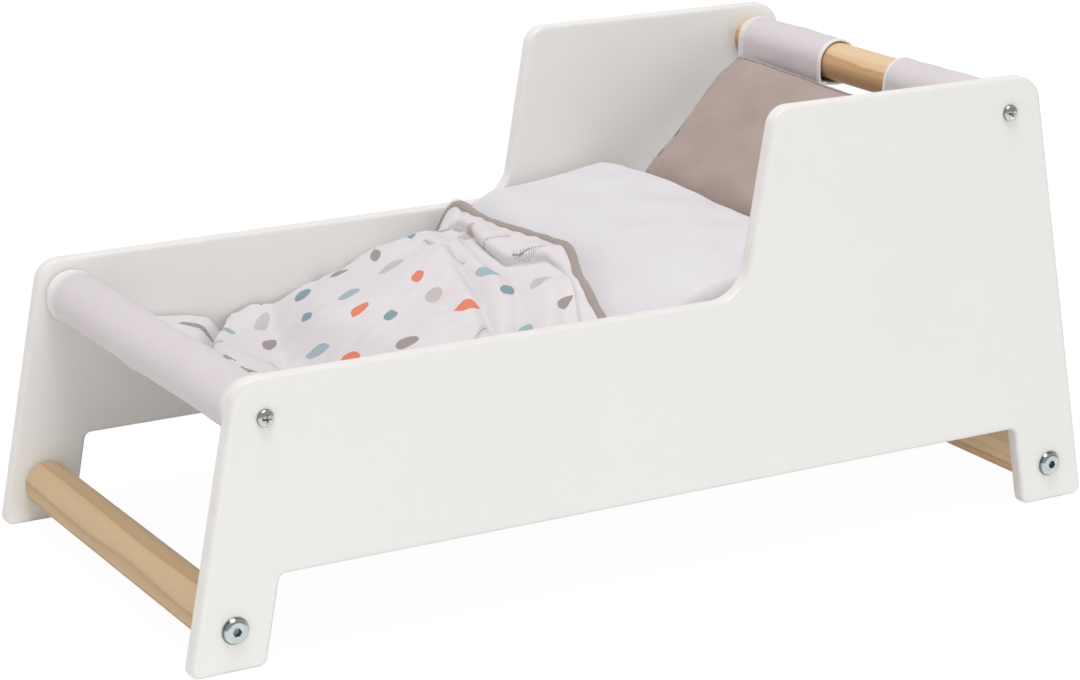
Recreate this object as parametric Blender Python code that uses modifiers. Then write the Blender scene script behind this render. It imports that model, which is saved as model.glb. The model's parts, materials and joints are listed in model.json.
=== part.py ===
"""Doll bed with stepped side panels, round rails, a hung fabric sling and loose bedding.

Metres, Z up. X runs from the foot to the head, Y from the right side to the left side.
The origin is on the floor under the middle of the frame.
"""

import math

import bmesh
import bpy
from mathutils import Matrix

# Side panels: one board each, cut as a low foot half and a high head half on two splayed legs.
frame_width = 0.280
panel_thickness = 0.0091
toe_span = 0.5934
toe_width = 0.0446
underside_height = 0.0496
low_top_height = 0.1587
high_top_height = 0.2657
step_base = 0.0182
foot_outer_slope = 0.191
foot_inner_slope = 0.1816
head_outer_slope = 0.1856
head_inner_slope = 0.1763
step_slope = 0.1724
toe_radius = 0.005
leg_fillet = 0.0044
foot_corner_radius = 0.0148
step_fillet = 0.022
step_corner_radius = 0.0127
head_corner_radius = 0.017
panel_edge_round = 0.002

# Round rails between the panels. The low ones are thicker, the top ones carry the fabric.
low_rail_radius = 0.014
low_rail_height = 0.0235
low_rail_end_round = 0.004
top_rail_radius = 0.012
top_rail_end_round = 0.001
foot_rail_inset = 0.0209
foot_rail_drop = 0.0217
head_rail_inset = 0.0232
head_rail_drop = 0.0205

# Low rails: a bolt through the panel into a threaded insert in the rail's end.
bolt_head_radius = 0.00765
bolt_head_height = 0.003
bolt_head_bevel = 0.0009
bolt_radius = 0.003
bolt_length = 0.030
bolt_tip = 0.0006
socket_width = 0.004
socket_depth = 0.0022
insert_radius = 0.005
insert_length = 0.014
insert_flange_radius = 0.0062
insert_flange = 0.0012
pilot_depth = 0.030

# Top rails: a pan head screw with a cross recess.
screw_head_radius = 0.0049
screw_head_height = 0.0027
screw_radius = 0.002
screw_length = 0.035
screw_tip = 0.002
recess_length = 0.0052
recess_width = 0.0011
recess_depth = 0.0015

# Fabric sling: a padded sleeve on the foot rail, a hanging seat and two loops on the head rail.
sleeve_thickness = 0.0032
loop_thickness = 0.0017
sling_thickness = 0.003
sling_hang = 0.0125
sling_sag = 0.090
sleeve_side_gap = 0.0015
loop_side_gap = 0.0079
sleeve_run_share = 0.06
loop_run_share = 0.06
hold_right = 0.0345
hold_left = 0.031
hold_bottom_drop = 0.024
hold_corner_radius = 0.018
hold_depth = 0.070

# Mattress: a soft pad that fills the belly of the sling.
mattress_foot_run = 0.0816
mattress_head_run = 0.1105
mattress_side_gap = 0.0024
mattress_depth = 0.066
mattress_draw = 0.006
mattress_corner = 0.006
mattress_ramp = 0.010
mattress_place_shares = (0, 0.06, 0.16, 0.28, 0.38, 0.48, 0.59, 0.69, 0.77, 0.87, 0.95, 1)
mattress_middle_shares = (0.09, 0.35, 0.58, 0.70, 0.83, 0.97, 0.98, 1, 0.92, 0.79, 0.65, 0.53)
mattress_side_shares = (0.08, 0.29, 0.42, 0.50, 0.65, 0.70, 0.76, 0.95, 0.86, 0.70, 0.58, 0.45)

# Pillow: a stuffed pad that leans on the sling below the head rail.
pillow_foot_gap = 0.007
pillow_head_run = 0.0235
pillow_foot_lift = 0.003
pillow_head_drop = 0.013
pillow_right_gap = 0.0129
pillow_left_gap = 0.0109
pillow_sag = 0.0035
pillow_crown = 0.025
pillow_belly = 0.002
pillow_seam = 0.0012
pillow_corner_draw = 0.005

# Blanket: a quilted cloth with a taped head edge, its foot end folded under.
blanket_foot_run = 0.0426
blanket_turnback = 0.114
blanket_turn = 0.045
blanket_side_gap = 0.0024
blanket_thickness = 0.0075
blanket_fold = 0.012
blanket_fold_run = 0.020
blanket_fold_width = 0.014
blanket_draw = 0.002
blanket_across_shares = (-1, -0.79, -0.55, -0.33, -0.16, 0, 0.5, 0.77, 0.87, 1)
blanket_turn_shares = (1, 0.75, 0.46, 0.21, 0, 0.03, 0.08, 0.03, 0.01, 0.33)
binding_width = 0.008
ease_share = 0.4

# Clearances.
seam = 0.0003
running = 0.0003
soft_clearance = 0.0012
overrun = 0.002
weld = 0.00001

# Counts.
arc_steps = 7
round_steps = 28
small_round_steps = 20
sling_steps = 34


def clear_scene():
    for obj in list(bpy.data.objects):
        bpy.data.objects.remove(obj, do_unlink=True)
    for group in list(bpy.data.collections):
        bpy.data.collections.remove(group)


def new_collection(name):
    group = bpy.data.collections.new(name)
    bpy.context.scene.collection.children.link(group)
    return group


def new_material(name, colour, roughness, metallic=0):
    material = bpy.data.materials.new(name)
    material.use_nodes = True
    shader = material.node_tree.nodes["Principled BSDF"]
    shader.inputs["Base Color"].default_value = (*colour, 1)
    shader.inputs["Roughness"].default_value = roughness
    shader.inputs["Metallic"].default_value = metallic
    material.diffuse_color = (*colour, 1)
    return material


def add_object(name, mesh, material, group):
    obj = bpy.data.objects.new(name, mesh)
    if material:
        mesh.materials.clear()
        mesh.materials.append(material)
    group.objects.link(obj)
    return obj


def baked(obj):
    """The mesh of an object after its modifiers; the object itself is removed."""
    bpy.context.view_layer.update()
    graph = bpy.context.evaluated_depsgraph_get()
    mesh = bpy.data.meshes.new_from_object(obj.evaluated_get(graph))
    bpy.data.objects.remove(obj, do_unlink=True)
    return mesh


def soften(mesh, degrees):
    mesh.shade_smooth()
    mesh.set_sharp_from_angle(angle=math.radians(degrees))


def edit_mesh(mesh, work):
    bm = bmesh.new()
    bm.from_mesh(mesh)
    work(bm)
    bm.to_mesh(mesh)
    bm.free()


def rounded_outline(corners):
    """Corner points (x, z, radius) made a ring of points with an arc at each corner."""
    ring = []
    for index, (x, z, radius) in enumerate(corners):
        before = corners[index - 1]
        after = corners[(index + 1) % len(corners)]
        ax, az = before[0] - x, before[1] - z
        bx, bz = after[0] - x, after[1] - z
        a_long, b_long = math.hypot(ax, az), math.hypot(bx, bz)
        ax, az, bx, bz = ax / a_long, az / a_long, bx / b_long, bz / b_long
        half = math.acos(max(-1, min(1, ax * bx + az * bz))) / 2
        middle_x, middle_z = ax + bx, az + bz
        middle = math.hypot(middle_x, middle_z)
        reach = radius / math.sin(half)
        cx, cz = x + middle_x / middle * reach, z + middle_z / middle * reach
        run = radius / math.tan(half)
        start = math.atan2(z + az * run - cz, x + ax * run - cx)
        end = math.atan2(z + bz * run - cz, x + bx * run - cx)
        turn = (end - start + math.pi) % (2 * math.pi) - math.pi
        for step in range(arc_steps + 1):
            angle = start + turn * step / arc_steps
            ring.append((cx + radius * math.cos(angle), cz + radius * math.sin(angle)))
    return ring


def flat_mesh(name, rings, thickness):
    """A mesh from outlines in the X Z plane, extruded along Y to the thickness."""
    curve = bpy.data.curves.new(name, "CURVE")
    curve.dimensions = "2D"
    curve.fill_mode = "BOTH"
    curve.extrude = thickness / 2
    for ring in rings:
        spline = curve.splines.new("POLY")
        spline.points.add(len(ring) - 1)
        for point, (x, z) in zip(spline.points, ring):
            point.co = (x, z, 0, 1)
        spline.use_cyclic_u = True
    holder = bpy.data.objects.new(name, curve)
    bpy.context.scene.collection.objects.link(holder)
    mesh = baked(holder)

    def join(bm):
        bmesh.ops.remove_doubles(bm, verts=bm.verts, dist=weld)
        bmesh.ops.rotate(bm, verts=bm.verts, matrix=Matrix.Rotation(math.pi / 2, 3, "X"))
        bmesh.ops.recalc_face_normals(bm, faces=bm.faces)

    edit_mesh(mesh, join)
    return mesh


def turned_mesh(name, profile, steps, closed=False):
    """A mesh turned about Z from (radius, height) points that run down the outer side."""
    mesh = bpy.data.meshes.new(name)
    points = [(radius, 0, height) for radius, height in profile]
    edges = [(index, index + 1) for index in range(len(points) - 1)]
    if closed:
        edges.append((len(points) - 1, 0))
    mesh.from_pydata(points, edges, [])
    obj = bpy.data.objects.new(name, mesh)
    bpy.context.scene.collection.objects.link(obj)
    screw = obj.modifiers.new("Screw", "SCREW")
    screw.steps = steps
    screw.render_steps = steps
    screw.use_merge_vertices = True
    screw.merge_threshold = weld
    return baked(obj)


def cut(target, cutter):
    boolean = target.modifiers.new("Cut", "BOOLEAN")
    boolean.operation = "DIFFERENCE"
    boolean.solver = "EXACT"
    boolean.object = cutter


def round_cutter(name, radius, depth, place, group):
    """A cylinder along Y that cuts a hole."""
    bm = bmesh.new()
    bmesh.ops.create_cone(
        bm, cap_ends=True, segments=small_round_steps, radius1=radius, radius2=radius, depth=depth
    )
    mesh = bpy.data.meshes.new(name)
    bm.to_mesh(mesh)
    bm.free()
    obj = add_object(name, mesh, None, group)
    obj.location = place
    obj.rotation_euler.x = math.pi / 2
    obj.hide_render = True
    obj.display_type = "WIRE"
    return obj


def block_mesh(name, length, width, depth):
    bm = bmesh.new()
    bmesh.ops.create_cube(bm, size=1)
    bmesh.ops.scale(bm, vec=(length, width, depth), verts=bm.verts)
    mesh = bpy.data.meshes.new(name)
    bm.to_mesh(mesh)
    bm.free()
    return mesh


def blend_table(places, values, place):
    """The value at a place between the stations of a table, eased from station to station."""
    if place <= places[0]:
        return values[0]
    for index in range(1, len(places)):
        if place <= places[index]:
            low, high = places[index - 1], places[index]
            share = (place - low) / (high - low)
            share = share * share * (3 - 2 * share) * ease_share + share * (1 - ease_share)
            return values[index - 1] + (values[index] - values[index - 1]) * share
    return values[-1]


# Places worked out from the sizes above.
inner_face = frame_width / 2 - panel_thickness
panel_middle = frame_width / 2 - panel_thickness / 2
rail_length = 2 * (inner_face - seam)
foot_toe = -toe_span / 2
head_toe = toe_span / 2


def foot_edge(height):
    return foot_toe + foot_outer_slope * height


def head_edge(height):
    return head_toe - head_outer_slope * height


def foot_leg_edge(height):
    return foot_toe + toe_width + foot_inner_slope * height


def head_leg_edge(height):
    return head_toe - toe_width - head_inner_slope * height


def step_edge(height):
    return step_base + step_slope * height


foot_low_x = (foot_edge(low_rail_height) + foot_leg_edge(low_rail_height)) / 2
head_low_x = (head_edge(low_rail_height) + head_leg_edge(low_rail_height)) / 2
foot_top_z = low_top_height - foot_rail_drop
foot_top_x = foot_edge(foot_top_z) + foot_rail_inset
head_top_z = high_top_height - head_rail_drop
head_top_x = head_edge(head_top_z) - head_rail_inset
low_rails = {"foot": (foot_low_x, low_rail_height), "head": (head_low_x, low_rail_height)}
top_rails = {"foot": (foot_top_x, foot_top_z), "head": (head_top_x, head_top_z)}
sides = {"right": -1, "left": 1}
sleeve_width = 2 * (inner_face - sleeve_side_gap)
loop_width = 2 * (inner_face - loop_side_gap)
mattress_foot = foot_top_x + mattress_foot_run
mattress_head = head_top_x - mattress_head_run
mattress_half_width = inner_face - mattress_side_gap
pillow_foot = mattress_head + pillow_foot_gap
pillow_head = head_top_x - pillow_head_run
pillow_right = inner_face - pillow_right_gap
pillow_left = inner_face - pillow_left_gap
blanket_foot = foot_top_x + blanket_foot_run
blanket_head = mattress_head - blanket_turnback
blanket_half_width = inner_face - blanket_side_gap
blanket_fold_place = blanket_foot + blanket_fold_run

clear_scene()
parts = new_collection("doll_bed")
cutters = new_collection("doll_bed_cutters")
root = bpy.data.objects.new("doll_bed_frame", None)
parts.objects.link(root)

white_paint = ((0.84, 0.84, 0.82), 0.45)
natural_wood = ((0.62, 0.42, 0.24), 0.55)


def build_panel(side, sign):
    outline = rounded_outline(
        [
            (foot_toe, 0, toe_radius),
            (foot_toe + toe_width, 0, toe_radius),
            (foot_leg_edge(underside_height), underside_height, leg_fillet),
            (head_leg_edge(underside_height), underside_height, leg_fillet),
            (head_toe - toe_width, 0, toe_radius),
            (head_toe, 0, toe_radius),
            (head_edge(high_top_height), high_top_height, head_corner_radius),
            (step_edge(high_top_height), high_top_height, step_corner_radius),
            (step_edge(low_top_height), low_top_height, step_fillet),
            (foot_edge(low_top_height), low_top_height, foot_corner_radius),
        ]
    )
    mesh = flat_mesh("side_panel_" + side, [outline], panel_thickness)

    def merge_flat(bm):
        bmesh.ops.dissolve_limit(
            bm, angle_limit=math.radians(0.5), verts=bm.verts, edges=bm.edges
        )

    edit_mesh(mesh, merge_flat)
    panel = add_object("side_panel_" + side, mesh, new_material("panel_paint_" + side, *white_paint), parts)
    panel.location = (0, sign * panel_middle, 0)
    panel.parent = root
    bevel = panel.modifiers.new("Round edges", "BEVEL")
    bevel.width = panel_edge_round
    bevel.segments = 2
    bevel.limit_method = "ANGLE"
    bevel.angle_limit = math.radians(60)
    depth = panel_thickness + 2 * overrun
    for end, (x, z) in low_rails.items():
        place = (x, sign * panel_middle, z)
        cut(panel, round_cutter(f"bolt_hole_{end}_{side}", bolt_radius + running, depth, place, cutters))
    for end, (x, z) in top_rails.items():
        place = (x, sign * panel_middle, z)
        cut(panel, round_cutter(f"screw_hole_{end}_{side}", screw_radius + running, depth, place, cutters))


def rounded_end(radius, end, round_size):
    """Profile points over a rounded outer edge at the upper end."""
    points = []
    for step in range(arc_steps // 2 + 1):
        angle = math.pi / 2 * (1 - step / (arc_steps // 2))
        points.append(
            (
                radius - round_size + round_size * math.cos(angle),
                end - round_size + round_size * math.sin(angle),
            )
        )
    return points


def mirrored(half):
    return half + [(radius, -height) for radius, height in reversed(half)]


def build_low_rail(end):
    x, z = low_rails[end]
    top = rail_length / 2
    hole = bolt_radius + running
    half = [
        (0, top - pilot_depth),
        (hole, top - pilot_depth),
        (hole, top - insert_length - seam),
        (insert_radius + running, top - insert_length - seam),
        (insert_radius + running, top - insert_flange - seam),
        (insert_flange_radius + running, top - insert_flange - seam),
        (insert_flange_radius + running, top),
        *rounded_end(low_rail_radius, top, low_rail_end_round),
    ]
    mesh = turned_mesh(end + "_low_rail", mirrored(half), round_steps)
    soften(mesh, 40)
    rail = add_object(end + "_low_rail", mesh, new_material(end + "_low_rail_wood", *natural_wood), parts)
    rail.location = (x, 0, z)
    rail.rotation_euler.x = math.pi / 2
    rail.parent = root


def build_top_rail(end):
    x, z = top_rails[end]
    top = rail_length / 2
    hole = screw_radius + running
    half = [
        (0, top - pilot_depth),
        (hole, top - pilot_depth),
        (hole, top),
        *rounded_end(top_rail_radius, top, top_rail_end_round),
    ]
    mesh = turned_mesh(end + "_top_rail", mirrored(half), round_steps)
    soften(mesh, 40)
    rail = add_object(end + "_top_rail", mesh, new_material(end + "_top_rail_wood", *natural_wood), parts)
    rail.location = (x, 0, z)
    rail.rotation_euler.x = math.pi / 2
    rail.parent = root


def bolt_mesh():
    profile = [
        (0, bolt_head_height),
        (bolt_head_radius - bolt_head_bevel, bolt_head_height),
        (bolt_head_radius, bolt_head_height - bolt_head_bevel),
        (bolt_head_radius, 0),
        (bolt_radius, 0),
        (bolt_radius, bolt_tip - bolt_length),
        (bolt_radius - bolt_tip, -bolt_length),
        (0, -bolt_length),
    ]
    holder = bpy.data.objects.new("bolt", turned_mesh("rail_bolt", profile, round_steps))
    bpy.context.scene.collection.objects.link(holder)
    bm = bmesh.new()
    corner_radius = socket_width / 2 / math.cos(math.pi / 6)
    bmesh.ops.create_cone(
        bm,
        cap_ends=True,
        segments=6,
        radius1=corner_radius,
        radius2=corner_radius,
        depth=socket_depth + overrun,
    )
    mesh = bpy.data.meshes.new("bolt_socket")
    bm.to_mesh(mesh)
    bm.free()
    socket = add_object("bolt_socket", mesh, None, cutters)
    socket.location.z = bolt_head_height - socket_depth + (socket_depth + overrun) / 2
    cut(holder, socket)
    made = baked(holder)
    bpy.data.objects.remove(socket, do_unlink=True)
    soften(made, 30)
    return made


def screw_mesh():
    profile = []
    for step in range(arc_steps + 1):
        angle = math.pi / 2 * (1 - step / arc_steps)
        profile.append((screw_head_radius * math.cos(angle), screw_head_height * math.sin(angle)))
    profile[0] = (0, screw_head_height)
    profile += [
        (screw_radius, 0),
        (screw_radius, screw_tip - screw_length),
        (0, -screw_length),
    ]
    holder = bpy.data.objects.new("screw", turned_mesh("rail_screw", profile, small_round_steps))
    bpy.context.scene.collection.objects.link(holder)
    depth = recess_depth + overrun
    slots = []
    for number, turn in enumerate((0, math.pi / 2)):
        name = f"recess_{number}"
        slot = add_object(name, block_mesh(name, recess_length, recess_width, depth), None, cutters)
        slot.location.z = screw_head_height - recess_depth + depth / 2
        slot.rotation_euler.z = turn
        cut(holder, slot)
        slots.append(slot)
    made = baked(holder)
    for slot in slots:
        bpy.data.objects.remove(slot, do_unlink=True)
    soften(made, 30)
    return made


def insert_mesh():
    profile = [
        (bolt_radius + running, 0),
        (insert_flange_radius, 0),
        (insert_flange_radius, -insert_flange),
        (insert_radius, -insert_flange),
        (insert_radius, -insert_length),
        (bolt_radius + running, -insert_length),
    ]
    made = turned_mesh("threaded_insert", profile, small_round_steps, closed=True)
    soften(made, 30)
    return made


def build_fasteners():
    bolt = bolt_mesh()
    screw = screw_mesh()
    insert = insert_mesh()
    zinc = ((0.55, 0.56, 0.57), 0.32, 1)
    yellow_zinc = ((0.62, 0.52, 0.32), 0.4, 1)
    bolt.materials.append(new_material("bolt_zinc", *zinc))
    screw.materials.append(new_material("screw_zinc", *zinc))
    insert.materials.append(new_material("insert_zinc", *yellow_zinc))
    for side, sign in sides.items():
        outer = sign * (frame_width / 2 + seam)
        for end in low_rails:
            x, z = low_rails[end]
            for name, mesh, y in (
                (f"rail_bolt_{end}_{side}", bolt, outer),
                (f"threaded_insert_{end}_{side}", insert, sign * rail_length / 2),
            ):
                obj = add_object(name, mesh, None, parts)
                obj.location = (x, y, z)
                obj.rotation_euler.x = -sign * math.pi / 2
                obj.parent = root
        for end in top_rails:
            x, z = top_rails[end]
            obj = add_object(f"rail_screw_{end}_{side}", screw, None, parts)
            obj.location = (x, outer, z)
            obj.rotation_euler.x = -sign * math.pi / 2
            obj.parent = root


# The sling's middle line is a parabola that starts and ends just below the two top rails.
sling_run = head_top_x - foot_top_x
sling_rise = head_top_z - foot_top_z


def sling_line(share):
    x = foot_top_x + share * sling_run
    z = foot_top_z - sling_hang + share * sling_rise - 4 * sling_sag * share * (1 - share)
    slope = (sling_rise - 4 * sling_sag * (1 - 2 * share)) / sling_run
    return x, z, slope


def sling_side(share, offset):
    """The point beside the middle line, offset square to it, up for a positive offset."""
    x, z, slope = sling_line(share)
    long = math.hypot(1, slope)
    return x - slope / long * offset, z + offset / long


def tangent_angle(point, centre, radius, side):
    """Angle on a circle of the tangent from a point, on the side given as 1 or -1."""
    dx, dz = point[0] - centre[0], point[1] - centre[1]
    return math.atan2(dz, dx) + side * math.acos(radius / math.hypot(dx, dz))


def arc_points(centre, radius, start, end, steps):
    points = []
    for step in range(steps + 1):
        angle = start + (end - start) * step / steps
        points.append((centre[0] + radius * math.cos(angle), centre[1] + radius * math.sin(angle)))
    return points


def sling_ends():
    """Centres, outer radii and tangent angles of the foot sleeve and the head loops."""
    foot = top_rails["foot"]
    head = top_rails["head"]
    sleeve = top_rail_radius + running + sleeve_thickness
    loop = top_rail_radius + running + loop_thickness
    half = sling_thickness / 2
    low, high = sleeve_run_share, 1 - loop_run_share
    foot_up = tangent_angle(sling_side(low, half), foot, sleeve, 1)
    foot_down = tangent_angle(sling_side(low, -half), foot, sleeve, -1)
    head_up = tangent_angle(sling_side(high, half), head, loop, -1)
    head_down = tangent_angle(sling_side(high, -half), head, loop, 1)
    return foot, head, sleeve, loop, foot_up, foot_down, head_up, head_down


def sling_top(x):
    """Height of the sling's upper surface."""
    share = (x - foot_top_x) / sling_run
    half = sling_thickness / 2
    high = 1 - loop_run_share
    foot, head, sleeve, loop, foot_up, foot_down, head_up, head_down = sling_ends()
    start = sling_side(high, half)
    if x < start[0]:
        middle, height, slope = sling_line(share)
        return height + half * math.hypot(1, slope)
    end = (head[0] + loop * math.cos(head_up), head[1] + loop * math.sin(head_up))
    return start[1] + (end[1] - start[1]) * (x - start[0]) / (end[0] - start[0])


def build_sling():
    foot, head, sleeve, loop, foot_up, foot_down, head_up, head_down = sling_ends()
    half = sling_thickness / 2
    low, high = sleeve_run_share, 1 - loop_run_share
    shares = [low + (high - low) * step / sling_steps for step in range(sling_steps + 1)]
    upper = [sling_side(share, half) for share in shares]
    lower = [sling_side(share, -half) for share in reversed(shares)]
    full = 2 * math.pi
    around_head = (head_down - head_up) % full
    around_foot = (foot_up - foot_down) % full
    ring = list(upper)
    ring += arc_points(head, loop, head_up, head_up - (full - around_head), 3 * arc_steps)
    ring += lower
    ring += arc_points(foot, sleeve, foot_down, foot_down - (full - around_foot), 3 * arc_steps)
    hole = top_rail_radius + running
    holes = [arc_points(centre, hole, 0, full * (1 - 1 / round_steps), round_steps - 1) for centre in (foot, head)]
    mesh = flat_mesh("fabric_sling", [ring, *holes], sleeve_width)
    narrow = loop_width / sleeve_width
    for vertex in mesh.vertices:
        share = (vertex.co.x - foot[0]) / sling_run
        vertex.co.y *= 1 + (narrow - 1) * max(0, min(1, share))
    colour = ((0.70, 0.66, 0.70), 0.9)
    sling = add_object("fabric_sling", mesh, new_material("sling_cloth", *colour), parts)
    sling.parent = root
    low_z = head[1] - hold_bottom_drop
    high_z = head[1] + loop + overrun
    outline = [
        (-hold_right, low_z, hold_corner_radius),
        (hold_left, low_z, hold_corner_radius),
        (hold_left, high_z, overrun),
        (-hold_right, high_z, overrun),
    ]
    hold = flat_mesh("hand_hold", [rounded_outline(outline)], hold_depth)
    cutter = add_object("hand_hold", hold, None, cutters)
    cutter.rotation_euler.z = math.pi / 2
    cutter.location.x = head[0]
    cutter.hide_render = True
    cutter.display_type = "WIRE"
    cut(sling, cutter)


def mattress_top(x, y):
    """Height of the mattress's upper surface; past its ends the height falls to the sling's."""
    place = (x - mattress_foot) / (mattress_head - mattress_foot)
    beyond = max(mattress_foot - x, x - mattress_head, 0)
    keep = max(0, min(1, 2 - beyond / mattress_ramp))
    middle = blend_table(mattress_place_shares, mattress_middle_shares, place)
    side = blend_table(mattress_place_shares, mattress_side_shares, place)
    across = min(1, abs(y) / mattress_half_width) ** 4
    return sling_top(x) + seam + keep * mattress_depth * (middle + (side - middle) * across)


def soft_block(name, counts, place, origin, colour):
    """A block cut into counts along each axis, each point moved by a rule."""
    bm = bmesh.new()
    bmesh.ops.create_cube(bm, size=2)
    for axis, count in enumerate(counts):
        normal = [0, 0, 0]
        normal[axis] = 1
        for step in range(1, count):
            centre = [0, 0, 0]
            centre[axis] = 2 * step / count - 1
            geometry = bm.verts[:] + bm.edges[:] + bm.faces[:]
            bmesh.ops.bisect_plane(bm, geom=geometry, plane_co=centre, plane_no=normal)
    for vertex in bm.verts:
        x, y, z = place(*vertex.co)
        vertex.co = (x - origin[0], y - origin[1], z - origin[2])
    bmesh.ops.recalc_face_normals(bm, faces=bm.faces)
    mesh = bpy.data.meshes.new(name)
    bm.to_mesh(mesh)
    bm.free()
    soften(mesh, 50)
    obj = add_object(name, mesh, new_material(name + "_cloth", colour, 0.95), parts)
    obj.location = origin
    return obj


def build_mattress():
    middle_x = (mattress_foot + mattress_head) / 2
    half_length = (mattress_head - mattress_foot) / 2

    def place(a, b, c):
        draw = mattress_draw * c**4
        x = middle_x + a * (half_length - draw - mattress_corner * b**8)
        y = b * (mattress_half_width - draw - mattress_corner * a**8)
        low = sling_top(x) + seam
        high = mattress_top(x, y)
        return x, y, low + (high - low) * (c + 1) / 2

    origin = (middle_x, 0, sling_top(middle_x))
    return soft_block("mattress", (24, 12, 3), place, origin, (0.77, 0.77, 0.80))


def build_pillow():
    foot_z = sling_top(pillow_foot) + pillow_foot_lift
    head_z = head_top_z - pillow_head_drop
    run, rise = pillow_head - pillow_foot, head_z - foot_z
    long = math.hypot(run, rise)
    across_x, across_z = -rise / long, run / long
    middle_y = (pillow_left - pillow_right) / 2
    half_width = (pillow_left + pillow_right) / 2

    def place(a, b, c):
        share = (a + 1) / 2
        puff = math.sqrt(max(0, (1 - abs(a) ** 2.4) * (1 - abs(b) ** 4)))
        sag = pillow_sag * 4 * share * (1 - share)
        height = pillow_seam + (pillow_crown if c > 0 else pillow_belly) * puff
        offset = c * height - sag
        x = pillow_foot + run * share + across_x * offset
        z = max(foot_z + rise * share + across_z * offset, sling_top(x) + soft_clearance)
        y = middle_y + b * (half_width - pillow_corner_draw * (1 - a * a))
        return x, y, z

    origin = ((pillow_foot + pillow_head) / 2, middle_y, (foot_z + head_z) / 2)
    return soft_block("pillow", (14, 14, 2), place, origin, (0.43, 0.35, 0.30))


def blanket_edge(y):
    turn = blend_table(blanket_across_shares, blanket_turn_shares, y / blanket_half_width)
    return blanket_head - blanket_turn * turn


def blanket_height(x, y, c):
    low = mattress_top(x, y) + soft_clearance
    fold = blanket_fold * math.exp(-(((x - blanket_fold_place) / blanket_fold_width) ** 2))
    return low + (blanket_thickness + fold) * (c + 1) / 2


def build_blanket():
    def place(a, b, c):
        draw = blanket_draw * c**2
        y = b * (blanket_half_width - draw)
        start = blanket_foot + draw
        end = blanket_edge(y) - binding_width - soft_clearance
        x = start + (end - start) * (a + 1) / 2
        return x, y, blanket_height(x, y, c)

    middle = (blanket_foot + blanket_head) / 2
    origin = (middle, 0, mattress_top(middle, 0))
    return soft_block("blanket", (24, 18, 2), place, origin, (0.80, 0.74, 0.70))


def build_binding():
    def place(a, b, c):
        draw = blanket_draw * c**2
        y = b * (blanket_half_width - draw)
        end = blanket_edge(y) - (draw if a > 0 else 0)
        x = end - (binding_width - (draw if a > 0 else 0)) * (1 - a) / 2
        return x, y, blanket_height(x, y, c)

    middle = (blanket_foot + blanket_head) / 2
    origin = (middle, 0, mattress_top(middle, 0))
    return soft_block("blanket_binding", (2, 18, 2), place, origin, (0.38, 0.33, 0.27))


for side_name, side_sign in sides.items():
    build_panel(side_name, side_sign)
for end_name in ("foot", "head"):
    build_low_rail(end_name)
    build_top_rail(end_name)
build_fasteners()
build_sling()
pad = build_mattress()
pad.parent = root
cushion = build_pillow()
cushion.parent = root
cover = build_blanket()
tape = build_binding()
bpy.context.view_layer.update()
for loose in (cover, tape):
    loose.parent = pad
    loose.matrix_parent_inverse = pad.matrix_world.inverted()
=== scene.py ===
import json
import math
import bmesh
import bpy
import numpy as np
from mathutils import Matrix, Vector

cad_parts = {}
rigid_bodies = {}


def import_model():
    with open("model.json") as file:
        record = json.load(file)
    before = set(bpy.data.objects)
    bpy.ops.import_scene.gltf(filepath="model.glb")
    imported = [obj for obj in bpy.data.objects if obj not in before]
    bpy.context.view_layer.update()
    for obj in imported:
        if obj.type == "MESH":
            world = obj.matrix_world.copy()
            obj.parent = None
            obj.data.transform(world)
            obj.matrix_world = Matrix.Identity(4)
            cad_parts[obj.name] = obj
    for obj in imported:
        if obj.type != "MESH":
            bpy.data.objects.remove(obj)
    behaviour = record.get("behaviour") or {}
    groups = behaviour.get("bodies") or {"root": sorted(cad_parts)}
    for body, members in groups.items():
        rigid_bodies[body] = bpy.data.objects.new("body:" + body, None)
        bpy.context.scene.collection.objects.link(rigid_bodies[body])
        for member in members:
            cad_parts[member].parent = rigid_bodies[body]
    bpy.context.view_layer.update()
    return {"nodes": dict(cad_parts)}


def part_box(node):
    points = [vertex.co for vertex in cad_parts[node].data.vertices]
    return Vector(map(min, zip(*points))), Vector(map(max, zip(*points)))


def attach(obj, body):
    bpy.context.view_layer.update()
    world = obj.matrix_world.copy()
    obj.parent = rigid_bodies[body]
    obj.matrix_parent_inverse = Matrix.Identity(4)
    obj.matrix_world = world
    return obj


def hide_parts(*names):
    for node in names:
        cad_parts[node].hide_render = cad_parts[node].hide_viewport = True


for leftOver in list(bpy.data.objects):
    bpy.data.objects.remove(leftOver)
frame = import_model()
print("doll bed: frame with", len(frame["nodes"]), "nodes")


def makePiece(name, points, faceSets, material, body="frame", uv=None, tones=None, sharp=None):
    # Points and index arrays become one mesh: equal points are merged, normals turned outwards.
    mesh = bpy.data.meshes.new(name)
    faces = [row for faceSet in faceSets for row in np.asarray(faceSet).tolist()]
    mesh.from_pydata(np.asarray(points).tolist(), [], faces)
    if uv is not None:
        corners = np.empty(len(mesh.loops), np.int32)
        mesh.loops.foreach_get("vertex_index", corners)
        layer = mesh.uv_layers.new(name="cloth")
        layer.data.foreach_set("uv", np.asarray(uv, np.float32)[corners].ravel())
    for label, values in (tones or {}).items():
        mesh.attributes.new(label, "FLOAT", "POINT").data.foreach_set("value", np.asarray(values, np.float32))
    bm = bmesh.new()
    bm.from_mesh(mesh)
    bmesh.ops.remove_doubles(bm, verts=bm.verts, dist=0.000002)
    bmesh.ops.recalc_face_normals(bm, faces=bm.faces)
    bm.to_mesh(mesh)
    bm.free()
    mesh.polygons.foreach_set("use_smooth", np.ones(len(mesh.polygons), bool))
    if sharp:
        mesh.set_sharp_from_angle(angle=math.radians(sharp))
    mesh.materials.append(material)
    piece = bpy.data.objects.new(name, mesh)
    bpy.context.scene.collection.objects.link(piece)
    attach(piece, body)
    return piece


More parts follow.
